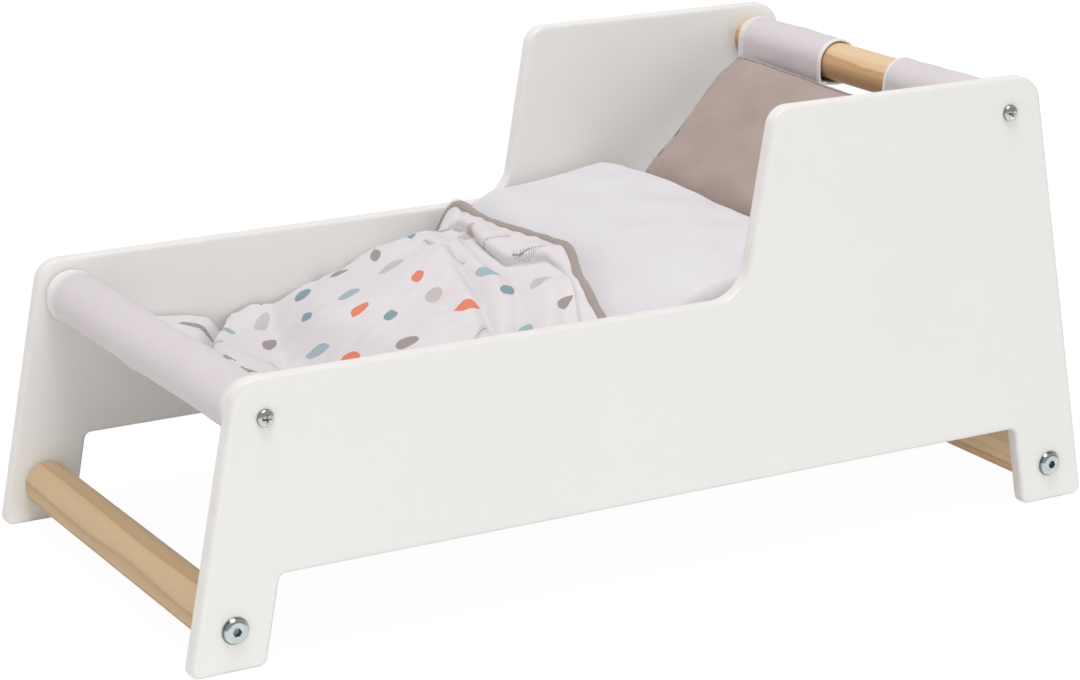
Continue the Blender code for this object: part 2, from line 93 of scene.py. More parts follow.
def gridFaces(rows, columns, closeColumns=False, start=0):
    # Quads between neighbouring rows and columns of a grid of points, row by row.
    i, j = np.meshgrid(np.arange(rows - 1), np.arange(columns if closeColumns else columns - 1), indexing="ij")
    nextJ = (j + 1) % columns
    quads = np.stack([i * columns + j, i * columns + nextJ, (i + 1) * columns + nextJ, (i + 1) * columns + j], -1)
    return quads.reshape(-1, 4) + start


def turned(radii, heights, centre, sign=1, steps=64):
    # A profile turned round an axis along Y: each row is a circle, or a closed curve where its radius varies
    # with the angle.
    angle = np.arange(steps) * 2 * np.pi / steps
    radii = np.array([np.broadcast_to(radius, steps) for radius in radii])
    heights = np.asarray(heights)[:, None]
    x = centre[0] + radii * np.cos(angle)
    y = centre[1] + sign * heights + 0 * radii
    z = centre[2] + radii * np.sin(angle)
    return np.stack([x, y, z], -1).reshape(-1, 3), gridFaces(len(radii), steps, closeColumns=True)


def ripple(u, v, size, seed, waves=16):
    # A smooth random height near one unit: sine waves of about the given length in seeded directions.
    random = np.random.default_rng(seed)
    turn, shift = random.uniform(0, 2 * np.pi, (2, waves))
    pitch = 2 * np.pi / size * random.uniform(0.6, 1.5, waves)
    u, v = np.asarray(u)[..., None], np.asarray(v)[..., None]
    return np.sin(pitch * (u * np.cos(turn) + v * np.sin(turn)) + shift).sum(-1) / math.sqrt(waves / 2)


def smoothStep(value, start, end):
    # 0 before start, 1 after end, and a soft S between them.
    share = np.clip((value - start) / (end - start), 0, 1)
    return share * share * (3 - 2 * share)


def bell(value, width):
    # 1 at zero, falling off by exp(-(value / width) squared).
    return np.exp(-(value / width) ** 2)


def smoothTable(places, values, reach):
    # Straight lines between the table's points, rounded over by a Gaussian of the given reach.
    span = places[-1] - places[0]
    fine = np.linspace(places[0] - span, places[-1] + span, 3001)
    step = fine[1] - fine[0]
    width = int(4 * reach / step) + 1
    kernel = np.exp(-0.5 * (np.arange(-width, width + 1) * step / reach) ** 2)
    raw = np.pad(np.interp(fine, places, values), width, mode="edge")
    smooth = np.convolve(raw, kernel / kernel.sum(), "valid")
    return lambda place: np.interp(place, fine, smooth)


def boxMiddle(node):
    # The middle of a solid's box along the bed, x, and upwards, z.
    low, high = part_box(node)
    return (low[0] + high[0]) / 2, (low[2] + high[2]) / 2


def alongPath(points):
    # How far each point of a path lies from its start.
    return np.concatenate([[0], np.cumsum(np.linalg.norm(np.diff(points, axis=0), axis=1))])


def vertexNormals(points, quads):
    # Each point's normal is the sum of its faces' cross products.
    square = np.cross(points[quads[:, 2]] - points[quads[:, 0]], points[quads[:, 3]] - points[quads[:, 1]])
    normals = np.zeros_like(points)
    for corner in range(4):
        np.add.at(normals, quads[:, corner], square)
    return normals / np.maximum(np.linalg.norm(normals, axis=1, keepdims=True), 1e-12)


def thickSheet(points, quads, thickness, uv, arcs=3):
    # A middle surface becomes a closed sheet: a skin half the thickness to each side, and a half round along
    # each open edge.
    first, index = np.unique(np.round(points, 7), axis=0, return_index=True, return_inverse=True)[1:]
    index = index.reshape(-1)
    points, uv = points[first], np.asarray(uv)[first]
    half = np.broadcast_to(np.asarray(thickness) / 2, len(index))[first][:, None]
    quads = index[quads]
    quads = quads[(quads[:, 0] != quads[:, 2]) & (quads[:, 1] != quads[:, 3])]
    normals = vertexNormals(points, quads)
    # An edge whose reverse belongs to no face is open.
    starts, ends = quads.reshape(-1), np.roll(quads, -1, axis=1).reshape(-1)
    kept = starts != ends
    starts, ends = starts[kept], ends[kept]
    count = len(points)
    isOpen = ~np.isin(starts * count + ends, ends * count + starts)
    starts, ends = starts[isOpen], ends[isOpen]
    outward = np.zeros_like(points)
    side = np.cross(points[ends] - points[starts], normals[starts])
    np.add.at(outward, starts, side)
    np.add.at(outward, ends, side)
    outward /= np.maximum(np.linalg.norm(outward, axis=1, keepdims=True), 1e-12)
    rim = np.unique(np.concatenate([starts, ends]))
    slot = np.zeros(count, int)
    slot[rim] = np.arange(len(rim))
    layers, skins = [points + normals * half, points - normals * half], [uv, uv]
    for arc in range(1, arcs + 1):
        angle = math.pi * arc / (arcs + 1)
        bulge = math.cos(angle) * normals[rim] + math.sin(angle) * outward[rim]
        layers.append(points[rim] + half[rim] * bulge)
        skins.append(uv[rim])
    rings = [
        [edge] + [2 * count + arc * len(rim) + slot[edge] for arc in range(arcs)] + [count + edge]
        for edge in (starts, ends)
    ]
    sides = [
        np.stack([rings[1][arc], rings[0][arc], rings[0][arc + 1], rings[1][arc + 1]], -1)
        for arc in range(arcs + 1)
    ]
    return np.concatenate(layers), [quads, quads[:, ::-1] + count, *sides], np.concatenate(skins)


def openFaces(faceSets):
    # Quads with a repeated corner become triangles.
    cleaned = []
    for faces in faceSets:
        twice = (faces == np.roll(faces, -1, axis=1)).any(axis=1)
        cleaned.append(faces[~twice])
        for row in faces[twice]:
            corners = list(dict.fromkeys(row.tolist()))
            if len(corners) == 3:
                cleaned.append(np.array([corners]))
    return cleaned


def paint(red, green, blue):
    # A colour picked as 0 to 255 screen values, given to the shader as linear light.
    share = np.array([red, green, blue]) / 255
    linear = np.where(share <= 0.04045, share / 12.92, ((share + 0.055) / 1.055) ** 2.4)
    return (*linear.tolist(), 1)


def deeper(colour, share):
    # The colour's three parts times the share.
    return tuple(share * part for part in colour[:3]) + (1,)


class Signal:
    # One output in a node tree. Its operators and methods add nodes, so a mask is written as its formula.
    def __init__(self, socket, tree):
        self.socket, self.tree = socket, tree

    def math(self, operation, *others):
        return addNode(self.tree, "ShaderNodeMath", dict(enumerate((self, *others))), operation=operation)

    def __add__(self, other):
        return self.math("ADD", other)

    def __sub__(self, other):
        return self.math("SUBTRACT", other)

    def __mul__(self, other):
        return self.math("MULTIPLY", other)

    def __truediv__(self, other):
        return self.math("DIVIDE", other)

    def __pow__(self, other):
        return self.math("POWER", other)

    def __gt__(self, other):
        return self.math("GREATER_THAN", other)

    def __lt__(self, other):
        return self.math("LESS_THAN", other)

    def __abs__(self):
        return self.math("ABSOLUTE")

    def __invert__(self):
        # A mask's opposite, 1 less the signal.
        return self * -1 + 1

    def most(self, other):
        return self.math("MAXIMUM", other)

    def fraction(self):
        return self.math("FRACT")

    def ramp(self, low, high, toLow=0, toHigh=1, smooth=False):
        # From toLow to toHigh as the signal goes from low to high, and level beyond both.
        values = dict(enumerate((self, low, high, toLow, toHigh)))
        kind = "SMOOTHSTEP" if smooth else "LINEAR"
        return addNode(self.tree, "ShaderNodeMapRange", values, interpolation_type=kind)

    def noise(self, scale, detail=2, roughness=0.5):
        # Cloudy noise about 0.5, so many waves to the metre when the signal is in metres.
        values = {"Vector": self, "Scale": scale, "Detail": detail, "Roughness": roughness}
        return addNode(self.tree, "ShaderNodeTexNoise", values, "Fac")

    def mapped(self, scale=(1, 1, 1), shift=(0, 0, 0)):
        # The vector times the scale, plus the shift.
        return addNode(self.tree, "ShaderNodeMapping", {"Vector": self, "Scale": scale, "Location": shift})

    def outputs(self):
        # All outputs of the signal's node, by name.
        return {socket.name: Signal(socket, self.tree) for socket in self.socket.node.outputs if socket.name}

    def split(self):
        # The three parts of a vector.
        return addNode(self.tree, "ShaderNodeSeparateXYZ", {0: self}).outputs().values()

    def through(self, group, **values):
        # The outputs of a node group that has this signal as its Vector.
        return addNode(self.tree, "ShaderNodeGroup", {"Vector": self, **values}, node_tree=group).outputs()


def plug(socket, value):
    # A link from a signal, or else the socket's own value. None leaves the socket alone.
    if isinstance(value, Signal):
        value.tree.links.new(value.socket, socket)
    elif value is not None:
        socket.default_value = value


def addNode(tree, kind, values=None, output=0, **settings):
    # A new node with its settings, its inputs filled by name or number, and one of its outputs.
    node = tree.nodes.new(kind)
    for label, setting in settings.items():
        setattr(node, label, setting)
    for label, value in (values or {}).items():
        plug(node.inputs[label], value)
    return None if output is None else Signal(node.outputs[output], tree)


def mix(share, first, second):
    # The first colour where the share is 0, the second where it is 1, and both in proportion between.
    return addNode(share.tree, "ShaderNodeMix", {0: share, 6: first, 7: second}, 2, data_type="RGBA")


def mixShaders(share, first, second):
    # The same for two shaders.
    return addNode(share.tree, "ShaderNodeMixShader", {0: share, 1: first, 2: second})


def seenByCamera(tree):
    # 1 for rays from the camera, also through clear things.
    ray = addNode(tree, "ShaderNodeLightPath").outputs()
    return ray["Is Camera Ray"].most(ray["Is Transmission Ray"])


def newGroup(name, inputs, outputs):
    # An empty node group with its named inputs, each with its usual value, and its named outputs.
    group = bpy.data.node_groups.new(name, "ShaderNodeTree")
    for label, value in inputs.items():
        kind = "NodeSocketFloat" if isinstance(value, float) else "NodeSocketVector"
        group.interface.new_socket(name=label, in_out="INPUT", socket_type=kind).default_value = value
    for label in outputs:
        group.interface.new_socket(name=label, in_out="OUTPUT", socket_type="NodeSocketFloat")
    given = addNode(group, "NodeGroupInput").outputs()
    return group, given["Vector"], given, group.nodes.new("NodeGroupOutput").inputs


def newMaterial(name, **values):
    # A material with its shader's inputs and the places to draw patterns by: the object's own, and its UV map.
    material = bpy.data.materials.new(name)
    material.use_nodes = True
    shader = material.node_tree.nodes["Principled BSDF"].inputs
    for label, value in values.items():
        shader[label.replace("_", " ")].default_value = value
    places = addNode(material.node_tree, "ShaderNodeTexCoord").outputs()
    return material, shader, places["Object"], places["UV"]


def addBump(shader, height, distance, strength=1, below=None):
    # The normal leans by the height's slope times the distance, over the bump below it.
    values = {"Strength": strength, "Distance": distance, "Height": height, "Normal": below}
    bump = addNode(height.tree, "ShaderNodeBump", values)
    plug(shader["Normal"], bump)
    return bump


def weaveGroup():
    # Plain weave: two sine waves at right angles, warped by a little noise so no thread is quite straight.
    inputs = {"Vector": (0, 0, 0), "Threads": 1800.0, "Slub": 0.3}
    group, place, given, out = newGroup("plain_weave", inputs, ("Height", "Shade"))
    shift = place.noise(260) * 5.0
    x, y, z = place.split()
    warp = (x * (given["Threads"] * math.pi) + shift).math("SINE")
    weft = (y * (given["Threads"] * math.pi) + shift).math("SINE")
    height = warp * weft * 0.5 + 0.5 + place.mapped((1, 9, 1)).noise(210, 3) * given["Slub"]
    plug(out["Height"], height)
    plug(out["Shade"], height.ramp(0, 1.3))
    return group


def mottleGroup():
    # Slow unevenness of a finish: broad and fine noise together, from 0 to 1.
    inputs = {"Vector": (0, 0, 0), "Broad": 9.0, "Fine": 90.0}
    group, place, given, out = newGroup("uneven_finish", inputs, ("Value",))
    both = place.noise(given["Fine"], 4, 0.6) * 0.35 + place.noise(given["Broad"], 3)
    plug(out["Value"], both.ramp(0.45, 0.95))
    return group


def grainGroup():
    # Pine turned into a rail: year rings round an axis beside the rail, cut by its round side into long flames,
    # with fine pores. A ring darkens by its phase to the power 3.5, and ends at once.
    inputs = {"Vector": (0, 0, 0), "Rings": 330.0, "Sway": 1.0}
    group, place, given, out = newGroup("pine_grain", inputs, ("Rings", "Fibre", "Height"))
    sway = (place.mapped((14, 3.2, 14)).noise(1) - 0.5) * (given["Sway"] * 0.03)
    x, y, z = place.split()
    ringX, ringZ = x + sway, sway * 0.6 + z
    phase = ((ringX * ringX + ringZ * ringZ).math("SQRT") * given["Rings"]).fraction()
    ring = phase ** 3.5 * phase.ramp(1.0, 0.93)
    fibre = place.mapped((900, 9, 900)).noise(1, 3, 0.6)
    plug(out["Rings"], ring)
    plug(out["Fibre"], fibre)
    plug(out["Height"], fibre * 0.6 + ring * -0.6)
    return group


weave, mottle, grain = weaveGroup(), mottleGroup(), grainGroup()
# How far the boards' outer faces lie from the bed's middle plane.
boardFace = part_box("side_panel_left")[1][1]


def panelPaint(name, colour, edgeToneAndShadeColour):
    # White lacquer on board: slight orange peel, faint unevenness, warmer and darker on the rounded edge: partly
    #     # thinner lacquer there, partly painted shade of the board's narrow side.
    material, shader, place, uv = newMaterial(name, Roughness=0.42, Coat_Weight=0.12, Coat_Roughness=0.25)
    finish = place.through(mottle, Broad=11.0, Fine=320.0)["Value"]
    edge = addNode(place.tree, "ShaderNodeAttribute", {}, "Fac", attribute_name="edge")
    base = mix(finish * 0.35, colour, deeper(colour, 0.955))
    # The edge band's darker, pinker tone with a little noise is partly lacquer tone and partly painted shade.
    edgeToneAndShade = edge * place.noise(60, 3).ramp(0.35, 0.75, 0.6, 0.85)
    plug(shader["Base Color"], mix(edgeToneAndShade, base, edgeToneAndShadeColour))
    plug(shader["Roughness"], finish.ramp(0, 1, 0.36, 0.5))
    addBump(shader, place.noise(700, 3), 0.00012, 0.25)
    return material


def railWood(name, style, middleX, middleZ):
    # Oiled pine, its flames from the year rings, with a slow change of tone along the rail.
    light, dark = style["light"], style["dark"]
    heartAndShadeLine, heartAndShadeShare = middleZ + style["heartAndShade"][0], style["heartAndShade"][1]
    material, shader, place, uv = newMaterial(name, Roughness=0.5)
    axis = (-middleX - style["axis"][0], 0, -middleZ - style["axis"][1])
    wood = place.mapped(shift=axis).through(grain, Rings=style["rings"], Sway=0.8)
    slow = place.mapped((40, 9, 40)).noise(1, 3).ramp(0.3, 0.7, 0.0, 0.55)
    tone = (wood["Fibre"] - 0.5) * 0.7 + slow
    base = mix(tone.most(0.0), light, tuple(0.86 * a + 0.14 * b for a, b in zip(light, dark)))
    # The heart side lies below a wavy line along the rail, in the dark tone or in one of its own. Where it is the
    #     # dark tone, the darker lower side is partly heart wood and partly painted shade; the wavy line is a dark
    #     grain line.
    x, y, z = place.split()
    wavy = (place.mapped((1, 0.35, 1)).noise(60) - 0.5) * 0.006 + z
    below = (wavy - heartAndShadeLine).ramp(0.0012, -0.0012, 0, heartAndShadeShare, True)
    base = mix(below, base, style.get("heartWood", dark))
    line = abs(wavy - (heartAndShadeLine - 0.001)).ramp(0.0012, 0.0003, 0, 0.5, True)
    base = mix(line, base, dark)
    plug(shader["Base Color"], mix(wood["Rings"] * style["ringShare"], base, dark))
    plug(shader["Roughness"], wood["Fibre"].ramp(0.2, 0.8, 0.44, 0.6))
    addBump(shader, wood["Height"], 0.0003, 0.35)
    return material


def zincMetal(name, colour, rough, paintedShadeTop):
    # Zinc plated steel: turned marks, a faint cloudy bloom, and a painted dark ring low on a head's rim, next to the
    #     # board, standing for contact shade and a dark reflection.
    material, shader, place, uv = newMaterial(name, Metallic=1.0, Roughness=rough)
    finish = place.through(mottle, Broad=240.0, Fine=2400.0)["Value"]
    x, y, z = place.split()
    # Below the painted shade top the head is painted dark: painted contact shade and painted dark reflection.
    abovePaintedShade = (abs(y) - boardFace).ramp(0.55 * paintedShadeTop, paintedShadeTop)
    clean = mix(finish, colour, deeper(colour, 0.82))
    plug(shader["Base Color"], mix(abovePaintedShade, deeper(colour, 0.30), clean))
    plug(shader["Roughness"], finish.ramp(0, 1, rough - 0.07, rough + 0.1))
    addBump(shader, place.mapped((1, 6, 1)).noise(2600), 0.00004, 0.3)
    return material


def clothMaterial(name, colour, shade, threads, depth=0.00012, fuzz=0.12, dye=None):
    # Woven cotton: threads from the weave group on the cloth's own UV, a slow tone change and a soft sheen.
    # The dye is a function that draws hems, stitches or a print over the plain colour.
    feel = {"Roughness": 0.9, "Sheen_Weight": fuzz, "Sheen_Roughness": 0.5, "Specular_IOR_Level": 0.2}
    material, shader, place, uv = newMaterial(name, **feel)
    threadsOut = uv.through(weave, Threads=threads)
    finish = place.through(mottle, Broad=22.0, Fine=420.0)["Value"]
    base = mix(finish * 0.5 + threadsOut["Shade"] * 0.25, colour, shade)
    plug(shader["Base Color"], dye(base, uv) if dye else base)
    plug(shader["Roughness"], finish.ramp(0, 1, 0.84, 0.95))
    broad = addBump(shader, place.noise(60, 3), 0.0012, 0.25)
    addBump(shader, threadsOut["Height"], depth, 0.6, broad)
    return material


view = {
    "lens": 101.61,
    "place": (-0.8725, -1.5028, 0.6250),
    "right": (0.86626, -0.4996, 0.0004),
    "down": (-0.14282, -0.24833, -0.95809),
    "forward": (0.47875, 0.8299, -0.28647),
}
light = {
    "horizon": 0.98, "zenith": 0.42, "sky": (1.0, 0.995, 0.985, 1), "mirrorFront": (0.35, 0.35, 0.36, 1),
    "key": 43.0, "keySize": 1.2, "keyPlace": (-0.38, -0.65, 2.7),
    "floor": (0.95, 0.95, 0.95, 1), "floorGlow": 1.03, "shadowShare": 0.07, "floorReach": 6,
}


def turnTo(right, up, back):
    # The turn that has these three directions as its columns.
    return Matrix((right, up, back)).transposed().to_4x4()


def placeCamera():
    # The place, the directions and the lens solved from the panels' straight edges.
    data = bpy.data.cameras.new("photo_camera")
    data.lens = view["lens"]
    data.sensor_width = 36
    data.clip_start, data.clip_end = 0.05, 30
    camera = bpy.data.objects.new("photo_camera", data)
    up, back = ([-part for part in view[way]] for way in ("down", "forward"))
    camera.matrix_world = Matrix.Translation(view["place"]) @ turnTo(view["right"], up, back)
    bpy.context.scene.collection.objects.link(camera)
    bpy.context.scene.camera = camera
    bpy.context.scene.view_settings.view_transform = "Standard"


def paintSky():
    # Bright near the horizon and dimmer overhead. Metal mirrors a dark front and a white back.
    world = bpy.data.worlds.new("studio")
    world.use_nodes = True
    bpy.context.scene.world = world
    tree = world.node_tree
    tree.nodes.clear()
    x, y, z = addNode(tree, "ShaderNodeTexCoord", {}, "Generated").split()
    strength = z.ramp(0.25, 0.55, 0, 1, True).ramp(0, 1, light["horizon"], light["zenith"])
    lit = addNode(tree, "ShaderNodeBackground", {"Color": light["sky"], "Strength": strength})
    mirrorColour = mix(y.ramp(-0.2, 0.3, 0, 1, True), light["mirrorFront"], (1, 1, 1, 1))
    mirrored = addNode(tree, "ShaderNodeBackground", {"Color": mirrorColour})
    glossy = addNode(tree, "ShaderNodeLightPath", {}, "Is Glossy Ray")
    plain = addNode(tree, "ShaderNodeBackground")
    sky = mixShaders(seenByCamera(tree), mixShaders(glossy, lit, mirrored), plain)
    addNode(tree, "ShaderNodeOutputWorld", {0: sky}, None)


def layFloor():
    # Matt to the light, and a white glow to the camera that lets a little shadow through.
    material = bpy.data.materials.new("studio_floor")
    material.use_nodes = True
    tree = material.node_tree
    tree.nodes.clear()
    matt = addNode(tree, "ShaderNodeBsdfDiffuse", {"Color": light["floor"]})
    glow = addNode(tree, "ShaderNodeEmission", {"Strength": light["floorGlow"]})
    surface = mixShaders(seenByCamera(tree) * (1 - light["shadowShare"]), matt, glow)
    addNode(tree, "ShaderNodeOutputMaterial", {0: surface}, None)
    reach = light["floorReach"]
    mesh = bpy.data.meshes.new("floor")
    corners = [(-reach, -reach, 0), (reach, -reach, 0), (reach, reach, 0), (-reach, reach, 0)]
    mesh.from_pydata(corners, [], [(0, 1, 2, 3)])
    mesh.materials.append(material)
    floor = bpy.data.objects.new("floor", mesh)
    bpy.context.scene.collection.objects.link(floor)


def hangKeyLamp():
    # A round soft lamp high over the bed, a little to its foot and front, aimed at the middle of the floor.
    data = bpy.data.lights.new("key_lamp", "AREA")
    data.shape = "DISK"
    data.size = light["keySize"]
    data.energy = light["key"]
    lamp = bpy.data.objects.new("key_lamp", data)
    place = np.array(light["keyPlace"])
    back = place / np.linalg.norm(place)
    side = np.cross((0, 0, 1), back)
    side /= np.linalg.norm(side)
    lamp.matrix_world = Matrix.Translation(place) @ turnTo(side, np.cross(back, side), back)
    bpy.context.scene.collection.objects.link(lamp)


placeCamera()
paintSky()
layFloor()
hangKeyLamp()
print("doll bed: camera, floor and lamps placed")


panel = {
    "toeSpan": 0.5934, "toeWidth": 0.0446, "underside": 0.0496, "lowTop": 0.1587, "highTop": 0.2657,
    "stepBase": 0.0182, "stepSlope": 0.1724, "footOuter": 0.191, "footInner": 0.1816,
    "headOuter": 0.1856, "headInner": 0.1763, "edgeRound": 0.002, "lip": 0.001, "holeSteps": 40,
    "toeRound": 0.005, "archRound": 0.0044, "headRound": 0.017, "shoulderRound": 0.0127,
    "stepRound": 0.022, "footRound": 0.0148, "boltHole": 0.0033, "screwHole": 0.0023,
    "paint": paint(241, 241, 238), "edgeToneAndShadePaint": paint(224, 218, 216),
}


def roundedOutline(corners, steps=14):
    # Each corner of a counterclockwise outline becomes an arc that touches both its sides; the normals point
    # outwards.
    spots = np.array([corner[:2] for corner in corners])
    radii = np.array([corner[2] for corner in corners])[:, None]
    into = spots - np.roll(spots, 1, axis=0)
    away = np.roll(spots, -1, axis=0) - spots
    into /= np.linalg.norm(into, axis=1, keepdims=True)
    away /= np.linalg.norm(away, axis=1, keepdims=True)
    bend = np.arctan2(into[:, 0] * away[:, 1] - into[:, 1] * away[:, 0], (into * away).sum(1))[:, None]
    side = np.sign(bend)
    left = np.stack([-into[:, 1], into[:, 0]], -1)
    centre = spots - into * radii * np.tan(np.abs(bend) / 2) + left * radii * side
    start = np.arctan2(-side * left[:, 1:], -side * left[:, :1])
    angle = start + bend * np.linspace(0, 1, steps)
    around = np.stack([np.cos(angle), np.sin(angle)], -1)
    points = centre[:, None] + radii[:, None] * around
    return points.reshape(-1, 2), (side[:, None] * around).reshape(-1, 2)


def panelOutline():
    # Toe, arch and toe along the bottom, then the high top at the head, one step down and the low top at the foot.
    p = panel
    foot, head = -p["toeSpan"] / 2, p["toeSpan"] / 2
    width, under, low, high = p["toeWidth"], p["underside"], p["lowTop"], p["highTop"]
    return roundedOutline([
        (foot, 0, p["toeRound"]),
        (foot + width, 0, p["toeRound"]),
        (foot + width + p["footInner"] * under, under, p["archRound"]),
        (head - width - p["headInner"] * under, under, p["archRound"]),
        (head - width, 0, p["toeRound"]),
        (head, 0, p["toeRound"]),
        (head - p["headOuter"] * high, high, p["headRound"]),
        (p["stepBase"] + p["stepSlope"] * high, high, p["shoulderRound"]),
        (p["stepBase"] + p["stepSlope"] * low, low, p["stepRound"]),
        (foot + p["footOuter"] * low, low, p["footRound"]),
    ])


def panelPiece(side):
    # The outline is carried round the board's edge profile: inset by r(1 - cos a) and out by r sin a at each angle a.
    p = panel
    lowBox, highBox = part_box("side_panel_" + side)
    y0, y1 = lowBox[1], highBox[1]
    outline, outward = panelOutline()
    r = p["edgeRound"]
    rise = np.linspace(0, np.pi / 2, 7)
    fall = rise[::-1]
    inset = np.concatenate([[r + p["lip"]], r * (1 - np.cos(fall)), r * (1 - np.cos(rise)), [r + p["lip"]]])
    depth = np.concatenate([[y0], y0 + r * (1 - np.sin(fall)), y1 - r * (1 - np.sin(rise)), [y1]])
    rings = outline[None] - inset[:, None, None] * outward[None]
    y = np.broadcast_to(depth[:, None], rings.shape[:2])
    points = np.stack([rings[..., 0], y, rings[..., 1]], -1).reshape(-1, 3)
    tone = np.concatenate([[0], np.cos(fall), np.cos(rise), [0]]) ** 0.5
    tones = np.broadcast_to(tone[:, None], rings.shape[:2]).reshape(-1)
    faces = [gridFaces(len(inset), len(outline), closeColumns=True)]
    for kind, reach in (("rail_bolt_", p["boltHole"]), ("rail_screw_", p["screwHole"])):
        for end in ("foot_", "head_"):
            x, z = boxMiddle(kind + end + side)
            ring, walls = turned([reach, reach], [y0, y1], (x, 0, z), steps=p["holeSteps"])
            faces.append(walls + len(points))
            points = np.concatenate([points, ring])
            tones = np.concatenate([tones, np.zeros(len(ring))])
    finish = panelPaint("panel_paint_" + side, p["paint"], p["edgeToneAndShadePaint"])
    piece = makePiece("side_panel_" + side + "_board", points, faces, finish, tones={"edge": tones})
    # Each flat face is filled between its outline and the rims of its holes.
    bm = bmesh.new()
    bm.from_mesh(piece.data)
    for faceDepth in (y0, y1):
        rim = [e for e in bm.edges if e.is_boundary and all(abs(v.co.y - faceDepth) < 1e-6 for v in e.verts)]
        bmesh.ops.triangle_fill(bm, use_beauty=True, edges=rim)
    bmesh.ops.recalc_face_normals(bm, faces=bm.faces)
    bm.to_mesh(piece.data)
    bm.free()
    piece.data.polygons.foreach_set("use_smooth", np.ones(len(piece.data.polygons), bool))
    piece.data.set_sharp_from_angle(angle=math.radians(50))
    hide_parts("side_panel_" + side)


for sideName in ("right", "left"):
    panelPiece(sideName)
print("doll bed: panels made")


# Each end's bore, as radii and depths from its bottom outwards: stepped for the insert, plain for a screw.
insertBore = ((0, 0.0033, 0.0033, 0.0053, 0.0053, 0.0065, 0.0065), (0.030, 0.030, 0.0143, 0.0143, 0.0015, 0.0015, 0))
screwBore = ((0, 0.0023, 0.0023), (0.030, 0.030, 0))
rails = {
    "foot_low_rail": {
        "light": paint(200, 172, 134), "dark": paint(156, 114, 70), "rings": 170.0, "ringShare": 0.55,
        "heartAndShade": (-0.005, 0.22), "heartWood": paint(222, 186, 138), "axis": (0.030, -0.034),
        "endRound": 0.004, "bore": insertBore,
    },
    "head_low_rail": {
        "light": paint(240, 210, 168), "dark": paint(196, 146, 92), "rings": 160.0, "ringShare": 0.3,
        "heartAndShade": (-0.004, 0.12), "axis": (-0.022, 0.030), "endRound": 0.004, "bore": insertBore,
    },
    "foot_top_rail": {
        "light": paint(230, 196, 146), "dark": paint(190, 138, 82), "rings": 200.0, "ringShare": 0.4,
        "heartAndShade": (-0.004, 0.3), "axis": (0.018, 0.026), "endRound": 0.001, "bore": screwBore,
    },
    "head_top_rail": {
        "light": paint(224, 194, 156), "dark": paint(192, 138, 82), "rings": 110.0, "ringShare": 0.22,
        "heartAndShade": (0.0055, 0.55), "axis": (-0.016, -0.018), "endRound": 0.001, "bore": screwBore,
    },
}


def railPiece(node, bodyRows=22):
    # Turned profile: out of one bore, over a quarter round, along the rail, and the same at the other end.
    style = rails[node]
    endRound, (boreRadii, boreDepths) = style["endRound"], style["bore"]
    low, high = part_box(node)
    x, z = boxMiddle(node)
    radius, end = (high[2] - low[2]) / 2, high[1]
    boreHeights = end - np.array(boreDepths)
    angle = np.linspace(np.pi / 2, 0, 6)
    roundRadii = radius - endRound + endRound * np.cos(angle)
    roundHeights = end - endRound + endRound * np.sin(angle)
    body = np.linspace(roundHeights[-1], -roundHeights[-1], bodyRows + 2)[1:-1]
    halfRadii = np.concatenate([boreRadii, roundRadii])
    halfHeights = np.concatenate([boreHeights, roundHeights])
    radii = np.concatenate([halfRadii, np.full(bodyRows, radius), halfRadii[::-1]])
    heights = np.concatenate([halfHeights, body, -halfHeights[::-1]])
    points, faces = turned(radii, heights, (x, 0, z), steps=72)
    piece = makePiece(node + "_dowel", points, [faces], railWood(node + "_wood", style, x, z), sharp=50)
    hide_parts(node)


for railNode in rails:
    railPiece(railNode)
print("doll bed: rails made")


bolt = {
    "headRadius": 0.00765, "height": 0.003, "face": 0.0048, "rim": 0.0004, "socket": 0.0043, "socketDepth": 0.0022,
    "shank": 0.003, "length": 0.030, "chamfer": 0.0006,
    "colour": (0.63, 0.69, 0.70, 1), "rough": 0.2, "paintedShadeTop": 0.0024,
}
screw = {
    "headRadius": 0.0049, "height": 0.0027, "arm": 0.0056, "slot": 0.0012, "recessDepth": 0.0015,
    "shank": 0.002, "length": 0.035, "point": 0.002,
    "colour": (0.70, 0.70, 0.69, 1), "rough": 0.22, "paintedShadeTop": 0.0017,
}
insert = {"colour": (0.62, 0.52, 0.32, 1), "rough": 0.4, "paintedShadeTop": 0.0016}
boltZinc, screwZinc, insertZinc = (
    zincMetal(name, style["colour"], style["rough"], style["paintedShadeTop"])
    for name, style in (("bolt_zinc", bolt), ("screw_zinc", screw), ("insert_zinc", insert))
)


def headCentre(node, sign, height):
    # Where a fastener's axis meets the underside of its head.
    low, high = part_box(node)
    x, z = boxMiddle(node)
    return x, (high[1] if sign > 0 else low[1]) - sign * height, z


def boltPiece(node, sign):
    # A button head: flat face with a hexagon socket, then a height that falls by the square of the way to the rim.
    height, face, reach = bolt["height"], bolt["face"], bolt["headRadius"]
    shank, chamfer, long = bolt["shank"], bolt["chamfer"], bolt["length"]
    steps = 72
    angle = np.arange(steps) * 2 * np.pi / steps
    hexagon = bolt["socket"] / 2 / np.cos(np.mod(angle, np.pi / 3) - np.pi / 6)
    floor = height - bolt["socketDepth"]
    share = np.linspace(0, 1, 10)[1:]
    radii = [
        0, hexagon * 0.96, hexagon, hexagon, hexagon * 1.04 + 0.00015, 0.0034, face - 0.0004, face,
        *(face + (reach - face) * share), reach, reach - 0.0003, shank, shank, shank - chamfer, 0,
    ]
    heights = [
        floor - 0.0003, floor, floor + 0.0002, height - 0.00025, height, height, height, height - 0.00004,
        *(height - (height - bolt["rim"]) * share**2), 0.0002, 0, 0, chamfer - long, -long, -long,
    ]
    points, faces = turned(radii, heights, headCentre(node, sign, height), sign, steps)
    piece = makePiece(node + "_steel", points, [faces], boltZinc, sharp=28)
    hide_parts(node)


